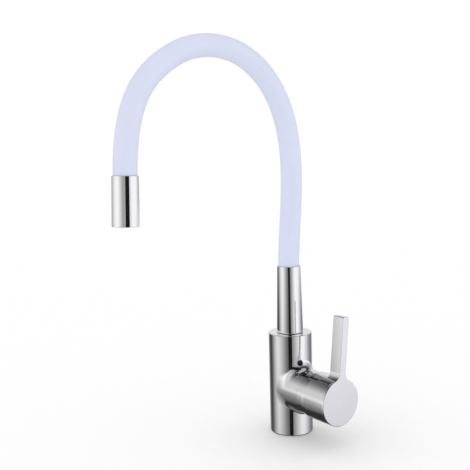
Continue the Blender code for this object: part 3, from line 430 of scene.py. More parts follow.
def add_noise(nodes, links, place, scale, detail):
    noise = nodes.new("ShaderNodeTexNoise")
    set_inputs(noise, {"Scale": scale, "Detail": detail})
    links.new(place, noise.inputs["Vector"])
    return noise.outputs["Fac"]


def add_range(nodes, links, value, low, high):
    """Maps a noise value to a range."""
    spread = nodes.new("ShaderNodeMapRange")
    set_inputs(spread, {"From Min": NOISE_LOW, "From Max": NOISE_HIGH, "To Min": low, "To Max": high})
    links.new(value, spread.inputs["Value"])
    return spread.outputs["Result"]


def add_colours(nodes, links, value, dark, light):
    """Mixes two close colours by a noise value."""
    ramp = nodes.new("ShaderNodeValToRGB")
    elements = ramp.color_ramp.elements
    for element, position, colour in zip(elements, (NOISE_LOW, NOISE_HIGH), (dark, light)):
        element.position = position
        element.color = (*colour, 1)
    links.new(value, ramp.inputs["Fac"])
    return ramp.outputs["Color"]


def add_bump(nodes, links, shader, value, strength, distance):
    bump = nodes.new("ShaderNodeBump")
    set_inputs(bump, {"Strength": strength, "Distance": distance})
    links.new(value, bump.inputs["Height"])
    links.new(bump.outputs["Normal"], shader.inputs["Normal"])


def surface(name, dark, light, rough, patch_scale, grain_scale, relief):
    """A material whose colour varies in patches and whose gloss and relief vary in a fine grain."""
    material, nodes, links, shader, place = new_material(name)
    patches = add_noise(nodes, links, place, patch_scale, detail=3)
    grains = add_noise(nodes, links, place, grain_scale, detail=4)
    links.new(add_colours(nodes, links, patches, dark, light), shader.inputs["Base Color"])
    links.new(add_range(nodes, links, grains, *rough), shader.inputs["Roughness"])
    add_bump(nodes, links, shader, grains, strength=1.0, distance=relief)
    return material


def chrome():
    """Mirror-bright plate with faint wiped patches in its gloss."""
    material, nodes, links, shader, place = new_material("chrome")
    patches = add_noise(nodes, links, place, scale=35, detail=3)
    wipes = add_noise(nodes, links, place, scale=160, detail=5)
    plate = add_colours(nodes, links, patches, dark=(0.90, 0.90, 0.91), light=(0.93, 0.93, 0.94))
    links.new(plate, shader.inputs["Base Color"])
    links.new(add_range(nodes, links, wipes, low=0.02, high=0.04), shader.inputs["Roughness"])
    add_bump(nodes, links, shader, wipes, strength=1.0, distance=CHROME_RELIEF)
    set_inputs(shader, {"Metallic": 1.0})
    return material


def silicone():
    """Smooth satin silicone with a faint mottle."""
    material = surface(
        "silicone",
        dark=(0.695, 0.735, 0.900),
        light=(0.710, 0.750, 0.915),
        rough=(0.42, 0.52),
        patch_scale=28,
        grain_scale=900,
        relief=SILICONE_RELIEF,
    )
    shader = material.node_tree.nodes["Principled BSDF"]
    set_inputs(shader, {"IOR": 1.41, "Sheen Weight": 0.10, "Sheen Roughness": 0.4})
    return material


def machined(name, dark, light):
    """Turned metal with fine tool rings."""
    material, nodes, links, shader, place = new_material(name)
    patches = add_noise(nodes, links, place, scale=60, detail=3)
    rings = nodes.new("ShaderNodeTexWave")
    rings.wave_type = "RINGS"
    rings.rings_direction = "SPHERICAL"
    set_inputs(rings, {"Scale": 500, "Distortion": 1.5})
    links.new(place, rings.inputs["Vector"])
    marks = rings.outputs["Fac"]
    links.new(add_colours(nodes, links, patches, dark, light), shader.inputs["Base Color"])
    links.new(add_range(nodes, links, marks, low=0.25, high=0.38), shader.inputs["Roughness"])
    add_bump(nodes, links, shader, marks, strength=0.6, distance=TOOL_MARKS)
    set_inputs(shader, {"Metallic": 1.0})
    return material


def brass():
    return machined("brass", dark=(0.66, 0.49, 0.24), light=(0.75, 0.58, 0.31))


def steel():
    return machined("steel", dark=(0.50, 0.51, 0.53), light=(0.60, 0.61, 0.63))


def rubber():
    """Matt black rubber with a fine grain."""
    return surface(
        "rubber",
        dark=(0.022, 0.022, 0.023),
        light=(0.035, 0.035, 0.036),
        rough=(0.65, 0.85),
        patch_scale=90,
        grain_scale=1500,
        relief=RUBBER_RELIEF,
    )


def plastic(name, dark, light):
    """Moulded plastic with a satin grain."""
    return surface(
        name,
        dark,
        light,
        rough=(0.35, 0.5),
        patch_scale=70,
        grain_scale=1200,
        relief=PLASTIC_RELIEF,
    )


def white_plastic():
    return plastic("white_plastic", dark=(0.76, 0.76, 0.73), light=(0.82, 0.82, 0.80))


def blue_plastic():
    return plastic("blue_plastic", dark=(0.17, 0.31, 0.55), light=(0.22, 0.38, 0.64))


def ceramic():
    """Lapped ceramic with a low sheen."""
    return surface(
        "ceramic",
        dark=(0.87, 0.86, 0.82),
        light=(0.92, 0.91, 0.87),
        rough=(0.12, 0.22),
        patch_scale=110,
        grain_scale=1800,
        relief=CERAMIC_RELIEF,
    )


def dark_plastic():
    """Glossy plastic, blue-black."""
    return surface(
        "dark_plastic",
        dark=(0.007, 0.009, 0.017),
        light=(0.010, 0.012, 0.023),
        rough=(0.06, 0.1),
        patch_scale=60,
        grain_scale=400,
        relief=GLOSSY_PLASTIC_RELIEF,
    )


CHROME = chrome()
MATERIALS = {
    "chrome_body": CHROME,
    "chrome_trim": CHROME,
    "silicone": silicone(),
    "bare_brass": brass(),
    "steel": steel(),
    "black_rubber": rubber(),
    "white_plastic": white_plastic(),
    "blue_plastic": blue_plastic(),
    "ceramic": ceramic(),
    "dark_plastic": dark_plastic(),
}


def wear(obj, slot):
    """Gives an object the material of a slot."""
    obj.data.materials.clear()
    obj.data.materials.append(MATERIALS[slot])


def dress(obj, body, slot, *nodes):
    """Gives a new piece its normals and material; it rides on a body and stands for the CAD nodes."""
    set_normals(obj)
    wear(obj, slot)
    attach(obj, body)
    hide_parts(*nodes)


def dress_cad_nodes():
    """Every CAD node gets the procedural material of its slot."""
    for part in frame["record"]["subparts"]:
        wear(frame["nodes"][part["node"]], part["material_slot"])


# Body


def junction_fillet():
    """The cast fillet where the branch leaves the body, rolled round the junction by a ball that grows
    towards the sides, where the two blend softly."""
    lift = UP * BRANCH_HEIGHT
    shape = bmesh.new()
    facing = shape.loops.layers.float_vector.new("facing")
    sections = []
    for step in range(ROUND_SIDES):
        turn = math.tau * step / ROUND_SIDES
        side = math.sin(turn)
        rise = math.cos(turn)
        least = BRANCH_TOP_FILLET if rise > 0 else BRANCH_FOOT_FILLET
        ball = least + (BRANCH_SIDE_FILLET - least) * side**FILLET_GROWTH
        ball_on_body = BODY_RADIUS + ball
        ball_on_branch = BRANCH_RADIUS + ball
        centre = Vector((0, ball_on_branch * side, ball_on_branch * rise))
        centre.x = math.sqrt(ball_on_body**2 - centre.y**2)
        on_body = Vector((centre.x, centre.y, 0)) * BODY_RADIUS / ball_on_body
        on_body.z = centre.z
        on_branch = Vector((centre.x, BRANCH_RADIUS * side, BRANCH_RADIUS * rise))
        root = Vector((0, (BRANCH_RADIUS - FILLET_ROOT) * side, (BRANCH_RADIUS - FILLET_ROOT) * rise))
        root.x = math.sqrt(BODY_RADIUS**2 - root.y**2) - FILLET_ROOT
        first = (on_body - centre).normalized()
        last = (on_branch - centre).normalized()
        section = []
        for part in range(FILLET_STEPS + 1):
            towards = first.slerp(last, part / FILLET_STEPS)
            sink = FILLET_SINK if part in (0, FILLET_STEPS) else 0
            spot = centre + towards * (ball + sink)
            section.append((shape.verts.new(spot + lift), -towards))
        section.append((shape.verts.new(root + lift), Vector()))
        sections.append(section)
    for here, there in zip(sections, sections[1:] + sections[:1]):
        for index in range(len(here)):
            follow = (index + 1) % len(here)
            corners = [here[index], here[follow], there[follow], there[index]]
            if FILLET_STEPS <= index:
                corners = [(vertex, Vector()) for vertex, _ in corners]
            add_face(shape, facing, corners)
    return link("junction_fillet", shape)


def along_button(distance):
    """A point on the button's axis, at a distance from the body's own axis."""
    azimuth = math.radians(BUTTON_AZIMUTH_DEG)
    return Vector((math.cos(azimuth), math.sin(azimuth), 0)) * distance + UP * BUTTON_HEIGHT


def passages():
    """Cutters for the water's way through the body."""
    inlet_height = BRANCH_HEIGHT + INLET_PORT_RISE
    outlet_height = BRANCH_HEIGHT - OUTLET_PORT_DROP
    into_bore = CARTRIDGE_FLOOR + OVERRUN
    cutters = []
    for side in (-1, 1):
        foot = (-INLET_BACK, side * INLET_SPREAD, -OVERRUN)
        mouth = (-INLET_BACK, side * INLET_SPREAD, INLET_DEPTH)
        top = (-INLET_BACK, side * INLET_SPREAD, inlet_height + INLET_PASSAGE_RADIUS)
        cutters.append(rod("socket", foot, mouth, INLET_RADIUS))
        cutters.append(rod("riser", foot, top, INLET_PASSAGE_RADIUS, HOLE_SIDES))
        start = (-INLET_BACK, side * INLET_PORT_SPREAD, inlet_height)
        end = (into_bore, side * INLET_PORT_SPREAD, inlet_height)
        cutters.append(rod("port", start, end, PORT_RADIUS, HOLE_SIDES))
    start = (-OUTLET_PASSAGE_BACK, 0, outlet_height)
    cutters.append(rod("port", start, (into_bore, 0, outlet_height), PORT_RADIUS, HOLE_SIDES))
    foot = (-OUTLET_PASSAGE_BACK, 0, outlet_height - OUTLET_PASSAGE_RADIUS)
    head = (-OUTLET_PASSAGE_BACK, 0, SOCKET_FLOOR + OVERRUN)
    cutters.append(rod("riser", foot, head, OUTLET_PASSAGE_RADIUS, HOLE_SIDES))
    return cutters


def make_body():
    """The cast body: upright barrel, side branch with its fillet, and every bore."""
    foot = near_edge(0, BODY_RADIUS, BASE_ROUNDING)
    head = far_edge(BODY_HEIGHT, BODY_RADIUS, EDGE_ROUND)
    body = turned("body", [(0, 0), *foot, *head, (BODY_HEIGHT, 0)])
    tip = far_edge(BRANCH_END, BRANCH_RADIUS, SEAM_ROUND)
    along_branch = place_along((0, 0, BRANCH_HEIGHT), (BRANCH_END, 0, BRANCH_HEIGHT))
    branch = turned("branch", [(0, 0), (0, BRANCH_RADIUS), *tip, (BRANCH_END, 0)], place=along_branch)
    join(body, branch, junction_fillet())
    floor = (CARTRIDGE_FLOOR, 0, BRANCH_HEIGHT)
    mouth = (BRANCH_END + OVERRUN, 0, BRANCH_HEIGHT)
    button_floor = BODY_RADIUS - BUTTON_RECESS - BUTTON_THICKNESS - SEAT_GAP
    button_mouth = along_button(BODY_RADIUS + OVERRUN)
    cut(
        body,
        rod("bore", floor, mouth, CARTRIDGE_BORE),
        rod("socket", (0, 0, SOCKET_FLOOR), (0, 0, BODY_HEIGHT + OVERRUN), SOCKET_RADIUS),
        rod("stud", (STUD_FRONT, 0, -OVERRUN), (STUD_FRONT, 0, STUD_DEPTH), STUD_RADIUS),
        tube(
            "groove",
            -OVERRUN,
            GASKET_THICKNESS + SEAT_GAP,
            GASKET_INNER_RADIUS - SEAT_GAP,
            GASKET_OUTER_RADIUS + SEAT_GAP,
        ),
        rod("button_hole", along_button(button_floor), button_mouth, BUTTON_RADIUS + SEAT_GAP),
        rod("grub_hole", along_button(0), along_button(BODY_RADIUS), GRUB_RADIUS + SEAT_GAP, HOLE_SIDES),
        *passages(),
    )
    dress(body, "faucet", "chrome_body", "faucet_body")


def make_button():
    """A glossy dark button with a softly rounded edge."""
    outer = BODY_RADIUS - BUTTON_RECESS
    edge = far_edge(BUTTON_THICKNESS, BUTTON_RADIUS, BUTTON_EDGE)
    place = place_along(along_button(outer - BUTTON_THICKNESS), along_button(outer))
    outline = [(0, 0), (0, BUTTON_RADIUS), *edge, (BUTTON_THICKNESS, 0)]
    button = turned("button", outline, BORE_SIDES, place)
    dress(button, "faucet", "dark_plastic", "indicator_button")


# Bonnet and handle


def along_handle(mix_deg=0):
    """The matrix of the cartridge's frame: Z out along the branch, Y up, turned by the lever's lean."""
    frame_turn = Matrix(((0, 0, 1), (1, 0, 0), (0, 1, 0))).to_4x4()
    lean = Matrix.Rotation(-math.radians(mix_deg), 4, "Z")
    return Matrix.Translation((0, 0, BRANCH_HEIGHT)) @ frame_turn @ lean


def dome_arc(radius, outer, inner):
    """Points of a dome about the pivot, from the outer turned radius to the inner one."""
    return arc((PIVOT, 0), radius, math.asin(outer / radius), math.asin(inner / radius), ARC_STEPS)


def make_bonnet():
    """The ring between branch and handle, with its dome under the skirt and its spigot in the branch."""
    ball = math.hypot(BONNET_END - PIVOT, BRANCH_RADIUS)
    dome = ball - HANDLE_CLEARANCE / 2
    dome_start = math.sqrt(dome**2 - (BONNET_END - PIVOT) ** 2)
    outline = [
        (BONNET_SPIGOT_BACK, BONNET_BORE),
        (BONNET_SPIGOT_BACK, CARTRIDGE_RADIUS),
        (BONNET_BACK, CARTRIDGE_RADIUS),
        *near_edge(BONNET_BACK, BRANCH_RADIUS, SEAM_ROUND),
        (BONNET_END, BRANCH_RADIUS - BONNET_TAPER),
        *dome_arc(dome, dome_start, BONNET_OPENING),
        *dome_arc(dome - BONNET_DOME_WALL, BONNET_OPENING, BONNET_BAND_INNER),
        (BONNET_BACK + BONNET_FLOOR, BONNET_BAND_INNER),
        (BONNET_BACK + BONNET_FLOOR, BONNET_BORE),
    ]
    dress(turned("bonnet", outline, place=along_handle()), "faucet", "chrome_trim", "bonnet_ring")


def skirt_radius(place, rim):
    """The skirt's outer radius, which rolls in towards the disc."""
    share = (place - rim) / (DISC_FACE - rim)
    return SKIRT_RADIUS + (DISC_RADIUS - SKIRT_RADIUS) * share**SKIRT_ROLL


def handle_cap():
    """The skirt with its tapered collar, the disc with a fine groove behind its front edge and the hub,
    and the cutter for the hollow round the hub."""
    ball = math.hypot(BONNET_END - PIVOT, BRANCH_RADIUS) + HANDLE_CLEARANCE
    rim = PIVOT + math.sqrt(ball**2 - SKIRT_INNER_RADIUS**2)
    hub_start = DISC_BACK - HUB_LENGTH
    groove_front = DISC_FACE - RIM_GROOVE_BACK
    groove_back = groove_front - RIM_GROOVE_WIDTH
    collar_end = rim + COLLAR_LENGTH
    gap_end = collar_end + COLLAR_GAP
    start = gap_end + SHOULDER
    places = [start + (groove_back - start) * step / ARC_STEPS for step in range(ARC_STEPS + 1)]
    skirt = [(place, skirt_radius(place, rim)) for place in places]
    shoulder = near_edge(gap_end, skirt_radius(start, rim), SHOULDER)
    gap_floor = COLLAR_RADIUS - COLLAR_TAPER - COLLAR_GAP
    groove_floor = skirt_radius(groove_back, rim) - RIM_GROOVE_DEPTH
    outline = [
        (rim, SKIRT_INNER_RADIUS),
        *near_edge(rim, COLLAR_RADIUS, SKIRT_EDGE),
        (collar_end, COLLAR_RADIUS - COLLAR_TAPER),
        (collar_end, gap_floor),
        (gap_end, gap_floor),
        *shoulder[:-1],
        *skirt,
        ((groove_back + groove_front) / 2, groove_floor),
        (groove_front, skirt_radius(groove_front, rim)),
        *far_edge(DISC_FACE, DISC_RADIUS, DISC_EDGE),
        (DISC_FACE, 0),
        (hub_start, 0),
        (hub_start, HUB_RADIUS - EDGE_ROUND),
        (hub_start + EDGE_ROUND, HUB_RADIUS),
        (DISC_BACK, HUB_RADIUS),
        (DISC_BACK, SKIRT_INNER_RADIUS),
    ]
    place = along_handle(REST_MIX_DEG)
    cap = turned("handle", outline, place=place)
    cavity = tube("cavity", rim, DISC_BACK, HUB_RADIUS + EDGE_ROUND, SKIRT_INNER_RADIUS, place)
    return cap, cavity


def lever_outline():
    """The lever seen from the front: rounded top corners, and fillets that run into the disc."""
    half = LEVER_WIDTH / 2
    centre_x = half + LEVER_FILLET
    centre_y = math.sqrt((DISC_RADIUS + LEVER_FILLET) ** 2 - centre_x**2)
    meet = math.atan2(-centre_y, -centre_x)
    corner = far_edge(half, LEVER_LENGTH, LEVER_CORNER)
    fillet = arc((centre_x, centre_y), LEVER_FILLET, -math.pi, meet, ARC_STEPS)
    root = (fillet[-1][0] * LEVER_ROOT_SHARE, fillet[-1][1] * LEVER_ROOT_SHARE)
    side = corner + fillet + [root]
    return side + [(-x, y) for x, y in reversed(side)]


def lever_levels():
    """The levels from the lever's back to its front as (depth, inset, normal across, normal along): a
    rounded edge, a slightly crowned side and a rounded edge."""
    crown = math.radians(LEVER_CROWN_DEG)
    half = LEVER_DEPTH / 2
    crown_radius = LEVER_EDGE + (half - LEVER_EDGE) / math.sin(crown)
    edge_centre = (crown_radius - LEVER_EDGE) * math.sin(crown)
    edge_inset = crown_radius - (crown_radius - LEVER_EDGE) * math.cos(crown)
    levels = []
    for step in range(EDGE_STEPS + 1):
        angle = crown + (math.pi / 2 - crown) * step / EDGE_STEPS
        along = edge_centre + LEVER_EDGE * math.sin(angle)
        inset = edge_inset - LEVER_EDGE * math.cos(angle)
        levels.append((along, inset, math.cos(angle), math.sin(angle)))
    back = [(-along, inset, across, -forward) for along, inset, across, forward in reversed(levels)]
    middle = [(0, 0, 1, 0)]
    centre = DISC_FACE - half
    section = back + middle + levels
    return [(centre + along, inset, across, forward) for along, inset, across, forward in section]


def lever():
    """The lever's outline drawn out along the handle's axis, with rounded edges front and back."""
    outline = lever_outline()
    place = along_handle(REST_MIX_DEG)
    turn = place.to_3x3()
    pairs = smooth_normals(outline)
    outward = [-(pairs[index][0] + pairs[index - 1][1]).normalized() for index in range(len(outline))]
    shape = bmesh.new()
    facing = shape.loops.layers.float_vector.new("facing")
    rings = []
    for depth, inset, across, along in lever_levels():
        ring = []
        for (x, y), out in zip(outline, outward):
            spot = Vector((x - out.x * inset, y - out.y * inset, depth))
            normal = Vector((out.x * across, out.y * across, along))
            ring.append((shape.verts.new(place @ spot), turn @ normal))
        rings.append(ring)
    for here, there in zip(rings, rings[1:]):
        for index in range(len(outline)):
            follow = (index + 1) % len(outline)
            add_face(shape, facing, [here[index], here[follow], there[follow], there[index]])
    shape.faces.new([vertex for vertex, _ in rings[0]])
    shape.faces.new([vertex for vertex, _ in rings[-1]])
    return link("lever", shape)


def make_handle():
    """Skirt, disc, lever and hub in one casting."""
    cap, cavity = handle_cap()
    place = along_handle(REST_MIX_DEG)
    half = SPINDLE_HALF + SEAT_GAP
    hub_start = DISC_BACK - HUB_LENGTH
    floor = SPINDLE_END + SEAT_GAP
    square = block("square", (-half, -half, hub_start - OVERRUN), (half, half, floor), place)
    below = place @ Vector((0, -SKIRT_RADIUS - OVERRUN, SET_SCREW_PLACE))
    centre = place @ Vector((0, 0, SET_SCREW_PLACE))
    screw_hole = rod("screw_hole", below, centre, SET_SCREW_RADIUS + SEAT_GAP)
    cut(join(cap, lever()), cavity, square, screw_hole)
    dress(cap, "lever_handle", "chrome_body", "handle")


# Spout


def sleeve(name, low, high, bore, low_radius, high_radius, place=Matrix.Identity(4)):
    """A thin tapered sleeve with rounded outer edges."""
    low_edge = near_edge(low, low_radius, EDGE_ROUND / 2)
    high_edge = far_edge(high, high_radius, EDGE_ROUND / 2)
    outline = [(low, bore), *low_edge, *high_edge, (high, bore)]
    return turned(name, outline, place=place)


def make_neck():
    """The tapered chrome sleeve over the foot of the hose."""
    foot = BODY_HEIGHT + SEAT_GAP
    neck = sleeve("neck", foot, NECK_TOP, NECK_BORE, NECK_FOOT_RADIUS, NECK_TOP_RADIUS)
    dress(neck, "spout", "chrome_trim", "neck_sleeve")


def spline_point(time):
    """A point on the clamped cubic curve that the route's shares control; time runs from 0 to 1."""
    controls = [
        Vector((0, -SPOUT_REACH * reach, NECK_TOP + SPOUT_RISE * rise))
        for reach, rise in zip(ROUTE_REACH_SHARES, ROUTE_RISE_SHARES)
    ]
    degree = 3
    spans = len(controls) - degree
    knots = [0] * degree + [step / spans for step in range(spans + 1)] + [1] * degree
    span = min(int(time * spans), spans - 1) + degree
    points = controls[span - degree : span + 1]
    for level in range(1, degree + 1):
        for index in range(degree, level - 1, -1):
            low = knots[span - degree + index]
            high = knots[span + 1 + index - level]
            points[index] = points[index - 1].lerp(points[index], (time - low) / (high - low))
    return points[degree]


ROUTE = [spline_point(step / ROUTE_SAMPLES) for step in range(ROUTE_SAMPLES + 1)]
OUTLET_DIRECTION = (ROUTE[-1] - ROUTE[-2]).normalized()


def hose_places(foot, tuck):
    """Points and directions along the hose, from foot in the neck sleeve to tuck in the outlet sleeve."""
    below = [Vector((0, 0, NECK_TOP + foot)), Vector((0, 0, NECK_TOP + foot / 2))]
    tip = [ROUTE[-1] + OUTLET_DIRECTION * tuck]
    kept = below + [ROUTE[0]]
    for point in ROUTE[1:-1]:
        if (point - kept[-1]).length >= HOSE_STEP:
            kept.append(point)
    kept += [ROUTE[-1]] + tip
    places = []
    for index, point in enumerate(kept):
        ahead = kept[min(index + 1, len(kept) - 1)] - kept[max(index - 1, 0)]
        places.append((point, ahead.normalized()))
    return places


def make_layer(name, node, slot, radius, bore, foot, tuck):
    """One layer of the hose, unbroken from foot to tuck, drawn along the curve of the arch."""
    shape = bmesh.new()
    across = Vector((1, 0, 0))
    angles = [math.tau * side / HOSE_SIDES for side in range(HOSE_SIDES)]
    outer_rings = []
    inner_rings = []
    for point, ahead in hose_places(foot, tuck):
        up = ahead.cross(across)
        spokes = [across * math.cos(angle) + up * math.sin(angle) for angle in angles]
        for reach, rings in ((radius, outer_rings), (bore, inner_rings)):
            rings.append([shape.verts.new(point + spoke * reach) for spoke in spokes])
    loops = outer_rings + inner_rings[::-1]
    for here, there in zip(loops, loops[1:] + loops[:1]):
        for side in range(HOSE_SIDES):
            follow = (side + 1) % HOSE_SIDES
            shape.faces.new([here[side], here[follow], there[follow], there[side]])
    layer = link(name, shape)
    layer.data.shade_smooth()
    layer.data.set_sharp_from_angle(angle=math.radians(SMOOTH_TURN_DEG))
    wear(layer, slot)
    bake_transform(layer)
    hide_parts(*(f"{node}_{stretch}" for stretch in HOSE_STRETCHES))


def make_hose():
    """The silicone sleeve over the bendable steel core, and the water tube inside that."""
    make_layer("hose", "hose_sleeve", "silicone", HOSE_RADIUS, HOSE_BORE, HOSE_FOOT, HOSE_TUCK)
    make_layer("hose_core", "gooseneck_core", "steel", CORE_RADIUS, CORE_BORE, CORE_FOOT, CORE_TUCK)
    make_layer("hose_tube", "water_tube", "white_plastic", TUBE_RADIUS, TUBE_BORE, CORE_FOOT, CORE_TUCK)


def along_outlet():
    """The matrix of the outlet's frame: Z down out of the mouth from the top of its sleeve."""
    tilt = math.atan2(-OUTLET_DIRECTION.y, OUTLET_DIRECTION.z)
    return Matrix.Translation(ROUTE[-1]) @ Matrix.Rotation(tilt, 4, "X")


def make_outlet_sleeve():
    """The slightly flared chrome sleeve at the end of the hose."""
    radii = (OUTLET_TOP_RADIUS, OUTLET_FOOT_RADIUS)
    cover = sleeve("outlet_cover", 0, OUTLET_LENGTH, OUTLET_BORE, *radii, along_outlet())
    dress(cover, "outlet", "chrome_trim", "outlet_sleeve")


def make_aerator():
    """The chrome cup at the mouth and the white insert with its hexagonal pattern of jets."""
    lip_top = AERATOR_FOOT - AERATOR_LIP
    place = along_outlet()
    cup = [
        (AERATOR_TOP, AERATOR_INNER),
        (AERATOR_TOP, AERATOR_RADIUS),
        (AERATOR_FOOT, AERATOR_RADIUS),
        (AERATOR_FOOT, AERATOR_LIP_RADIUS),
        (lip_top, AERATOR_LIP_RADIUS),
        (lip_top, AERATOR_INNER),
    ]
    dress(turned("aerator_cup", cup, place=place), "outlet", "chrome_trim", "aerator_housing")
    floor = INSERT_FOOT - INSERT_FLOOR
    dish = [
        (AERATOR_TOP, INSERT_DISH_RADIUS),
        (AERATOR_TOP, INSERT_RADIUS),
        (INSERT_FOOT, INSERT_RADIUS),
        (INSERT_FOOT, 0),
        (floor, 0),
        (floor, INSERT_DISH_RADIUS),
    ]
    insert = turned("aerator_dish", dish, BORE_SIDES, place)
    for row in range(-INSERT_RINGS, INSERT_RINGS + 1):
        in_row = 2 * INSERT_RINGS + 1 - abs(row)
        y = row * INSERT_HOLE_PITCH * math.sqrt(3) / 2
        for column in range(in_row):
            x = (column - (in_row - 1) / 2) * INSERT_HOLE_PITCH
            start = place @ Vector((x, y, floor - OVERRUN))
            end = place @ Vector((x, y, INSERT_FOOT + OVERRUN))
            cut(insert, rod("jet", start, end, INSERT_HOLE_RADIUS, HOLE_SIDES))
    dress(insert, "outlet", "white_plastic", "aerator_insert")


# Studio and camera


def level_view():
    """The level directions of the camera's view and of its right-hand side."""
    x, y, _ = CAMERA_PLACE
    to_axis = Vector((-x, -y, 0)).normalized()
    side = to_axis.cross(UP)
    yaw = math.radians(CAMERA_YAW_DEG)
    level = to_axis * math.cos(yaw) - side * math.sin(yaw)
    right = side * math.cos(yaw) + to_axis * math.sin(yaw)
    return level, right


def camera_axes():
    """The camera's right, up and forward directions, fitted to the photo."""
    level, right = level_view()
    pitch = math.radians(CAMERA_PITCH_DEG)
    roll = math.radians(CAMERA_ROLL_DEG)
    forward = level * math.cos(pitch) + UP * math.sin(pitch)
    up = right.cross(forward)
    rolled_right = right * math.cos(roll) + up * math.sin(roll)
    rolled_up = up * math.cos(roll) - right * math.sin(roll)
    return rolled_right, rolled_up, forward


def make_camera():
    right, up, forward = camera_axes()
    data = bpy.data.cameras.new("camera")
    data.lens = CAMERA_LENS
    data.sensor_width = CAMERA_SENSOR
    camera = bpy.data.objects.new("camera", data)
    turn = Matrix((right, up, -forward)).transposed().to_4x4()
    camera.matrix_world = Matrix.Translation(CAMERA_PLACE) @ turn
    bpy.context.scene.collection.objects.link(camera)
    bpy.context.scene.camera = camera


def make_floor():
    """A plain pale floor that takes the faucet's soft shadow."""
    shape = bmesh.new()
    bmesh.ops.create_circle(shape, cap_ends=True, segments=ROUND_SIDES, radius=FLOOR_RADIUS)
    floor = link("floor", shape)
    material, nodes, links, shader, place = new_material("floor")
    grain = add_noise(nodes, links, place, scale=90, detail=3)
    white = add_colours(nodes, links, grain, dark=(0.992, 0.992, 0.992), light=(1.0, 1.0, 1.0))
    links.new(white, shader.inputs["Base Color"])
    set_inputs(shader, {"Roughness": 0.9, "Specular IOR Level": 0.0})
    floor.data.materials.append(material)
    floor.visible_glossy = False


def make_card():
    """A tall black card before the faucet, wider at its top. Only the chrome shows it, as a dark stripe."""
    level, side = level_view()
    foot = Vector(CAMERA_PLACE) + level * CARD_DISTANCE
    edge = [
        (CARD_LOW_WIDTH / 2, CARD_FOOT),
        (CARD_LOW_WIDTH / 2, CARD_WAIST),
        (CARD_HIGH_WIDTH / 2, CARD_SHOULDER),
        (CARD_HIGH_WIDTH / 2, CARD_TOP),
    ]
    shape = bmesh.new()
    corners = []
    for across, height in edge + [(-across, height) for across, height in reversed(edge)]:
        spot = foot + side * (CARD_OFFSET + across)
        corners.append(shape.verts.new((spot.x, spot.y, height)))
    shape.faces.new(corners)
    card = link("black_card", shape)
    material, _, _, shader, _ = new_material("black_card")
    set_inputs(shader, {"Base Color": CARD_BLACK, "Roughness": 1.0, "Specular IOR Level": 0.0})
    card.data.materials.append(material)
    card.visible_camera = False
    card.visible_diffuse = False
    card.visible_shadow = False


# The studio as the chrome sees it: walls by heading, in degrees from the camera's side of the faucet
# towards the right of the picture, each with its grey and its blue. The low walls end a little under the
# level view, a bright strip parts them from the walls level with the view, and the high walls come above.
LOW_WALLS = (
    (-180, 0.70, 0.70),
    (-150, 0.20, 0.20),
    (-120, 0.10, 0.10),
    (-85, 0.68, 0.68),
    (-65, 0.72, 0.72),
    (-20, 0.15, 0.15),
    (5, 0.24, 0.24),
    (55, 1.00, 1.00),
    (75, 0.92, 0.96),
    (100, 0.50, 0.53),
    (135, 0.20, 0.21),
    (180, 0.70, 0.70),
)
STRIP = (
    (-180, 0.80, 0.80),
    (-150, 0.22, 0.22),
    (-130, 0.25, 0.25),
    (-80, 0.90, 0.90),
    (-55, 0.77, 0.77),
    (-30, 0.34, 0.34),
    (-8, 0.20, 0.20),
    (15, 0.32, 0.32),
    (45, 0.86, 0.89),
    (62, 1.00, 1.00),
    (92, 1.00, 1.00),
    (120, 0.74, 0.76),
    (180, 0.80, 0.80),
)
LEVEL_WALLS = (
    (-180, 0.82, 0.84),
    (-155, 0.52, 0.52),
    (-130, 0.49, 0.49),
    (-84, 0.92, 0.92),
    (-56, 0.98, 0.98),
    (-24, 0.55, 0.55),
    (-8, 0.38, 0.37),
    (40, 0.60, 0.62),
    (60, 0.94, 0.97),
    (90, 1.00, 1.00),
    (108, 0.94, 0.95),
    (137, 0.50, 0.50),
    (158, 0.56, 0.57),
    (180, 0.82, 0.84),
)
HIGH_WALLS = (
    (-180, 0.82, 0.84),
    (-150, 0.62, 0.62),
    (-60, 0.66, 0.66),
    (-20, 0.35, 0.35),
    (10, 0.28, 0.28),
    (57, 0.82, 0.85),
    (97, 0.60, 0.62),
    (130, 0.35, 0.36),
    (155, 0.60, 0.62),
    (180, 0.82, 0.84),
)

# Where the walls change, as the height of a view direction of length 1
STRIP_FOOT = (-0.22, -0.09)
STRIP_TOP = (-0.105, -0.055)
LEVEL_TOP = (0.02, 0.14)
NEAR_FLOOR = (-0.70, -0.56)
FAR_FLOOR = (-0.72, -0.20)
CEILING = (0.30, 0.84)
FOOT_FLOOR = (-0.86, -0.74)
OVERHEAD = (0.86, 0.94)
WHITE = (1, 1, 1, 1)
FLOOR_GREY = (0.17, 0.17, 0.17, 1)
DARK = (0.03, 0.03, 0.03, 1)
LAMP_GREY = (0.40, 0.41, 0.42, 1)


def add_walls(nodes, links, heading, stops):
    """A colour ramp over the whole turn, with one stop for each heading."""
    ramp = nodes.new("ShaderNodeValToRGB")
    ramp.color_ramp.interpolation = "CARDINAL"
    elements = ramp.color_ramp.elements
    while len(elements) < len(stops):
        elements.new(1)
    for element, (angle, grey, blue) in zip(list(elements), stops):
        element.position = (angle + 180) / 360
        element.color = (grey, grey, blue, 1)
    links.new(heading, ramp.inputs["Fac"])
    return ramp.outputs["Color"]


def add_math(nodes, links, operation, first, second):
    """The result of an operation on two values, each a number or another node's output."""
    step = nodes.new("ShaderNodeMath")
    step.operation = operation
    for socket, value in zip(step.inputs, (first, second)):
        if isinstance(value, (int, float)):
            socket.default_value = value
        else:
            links.new(value, socket)
    return step.outputs["Value"]


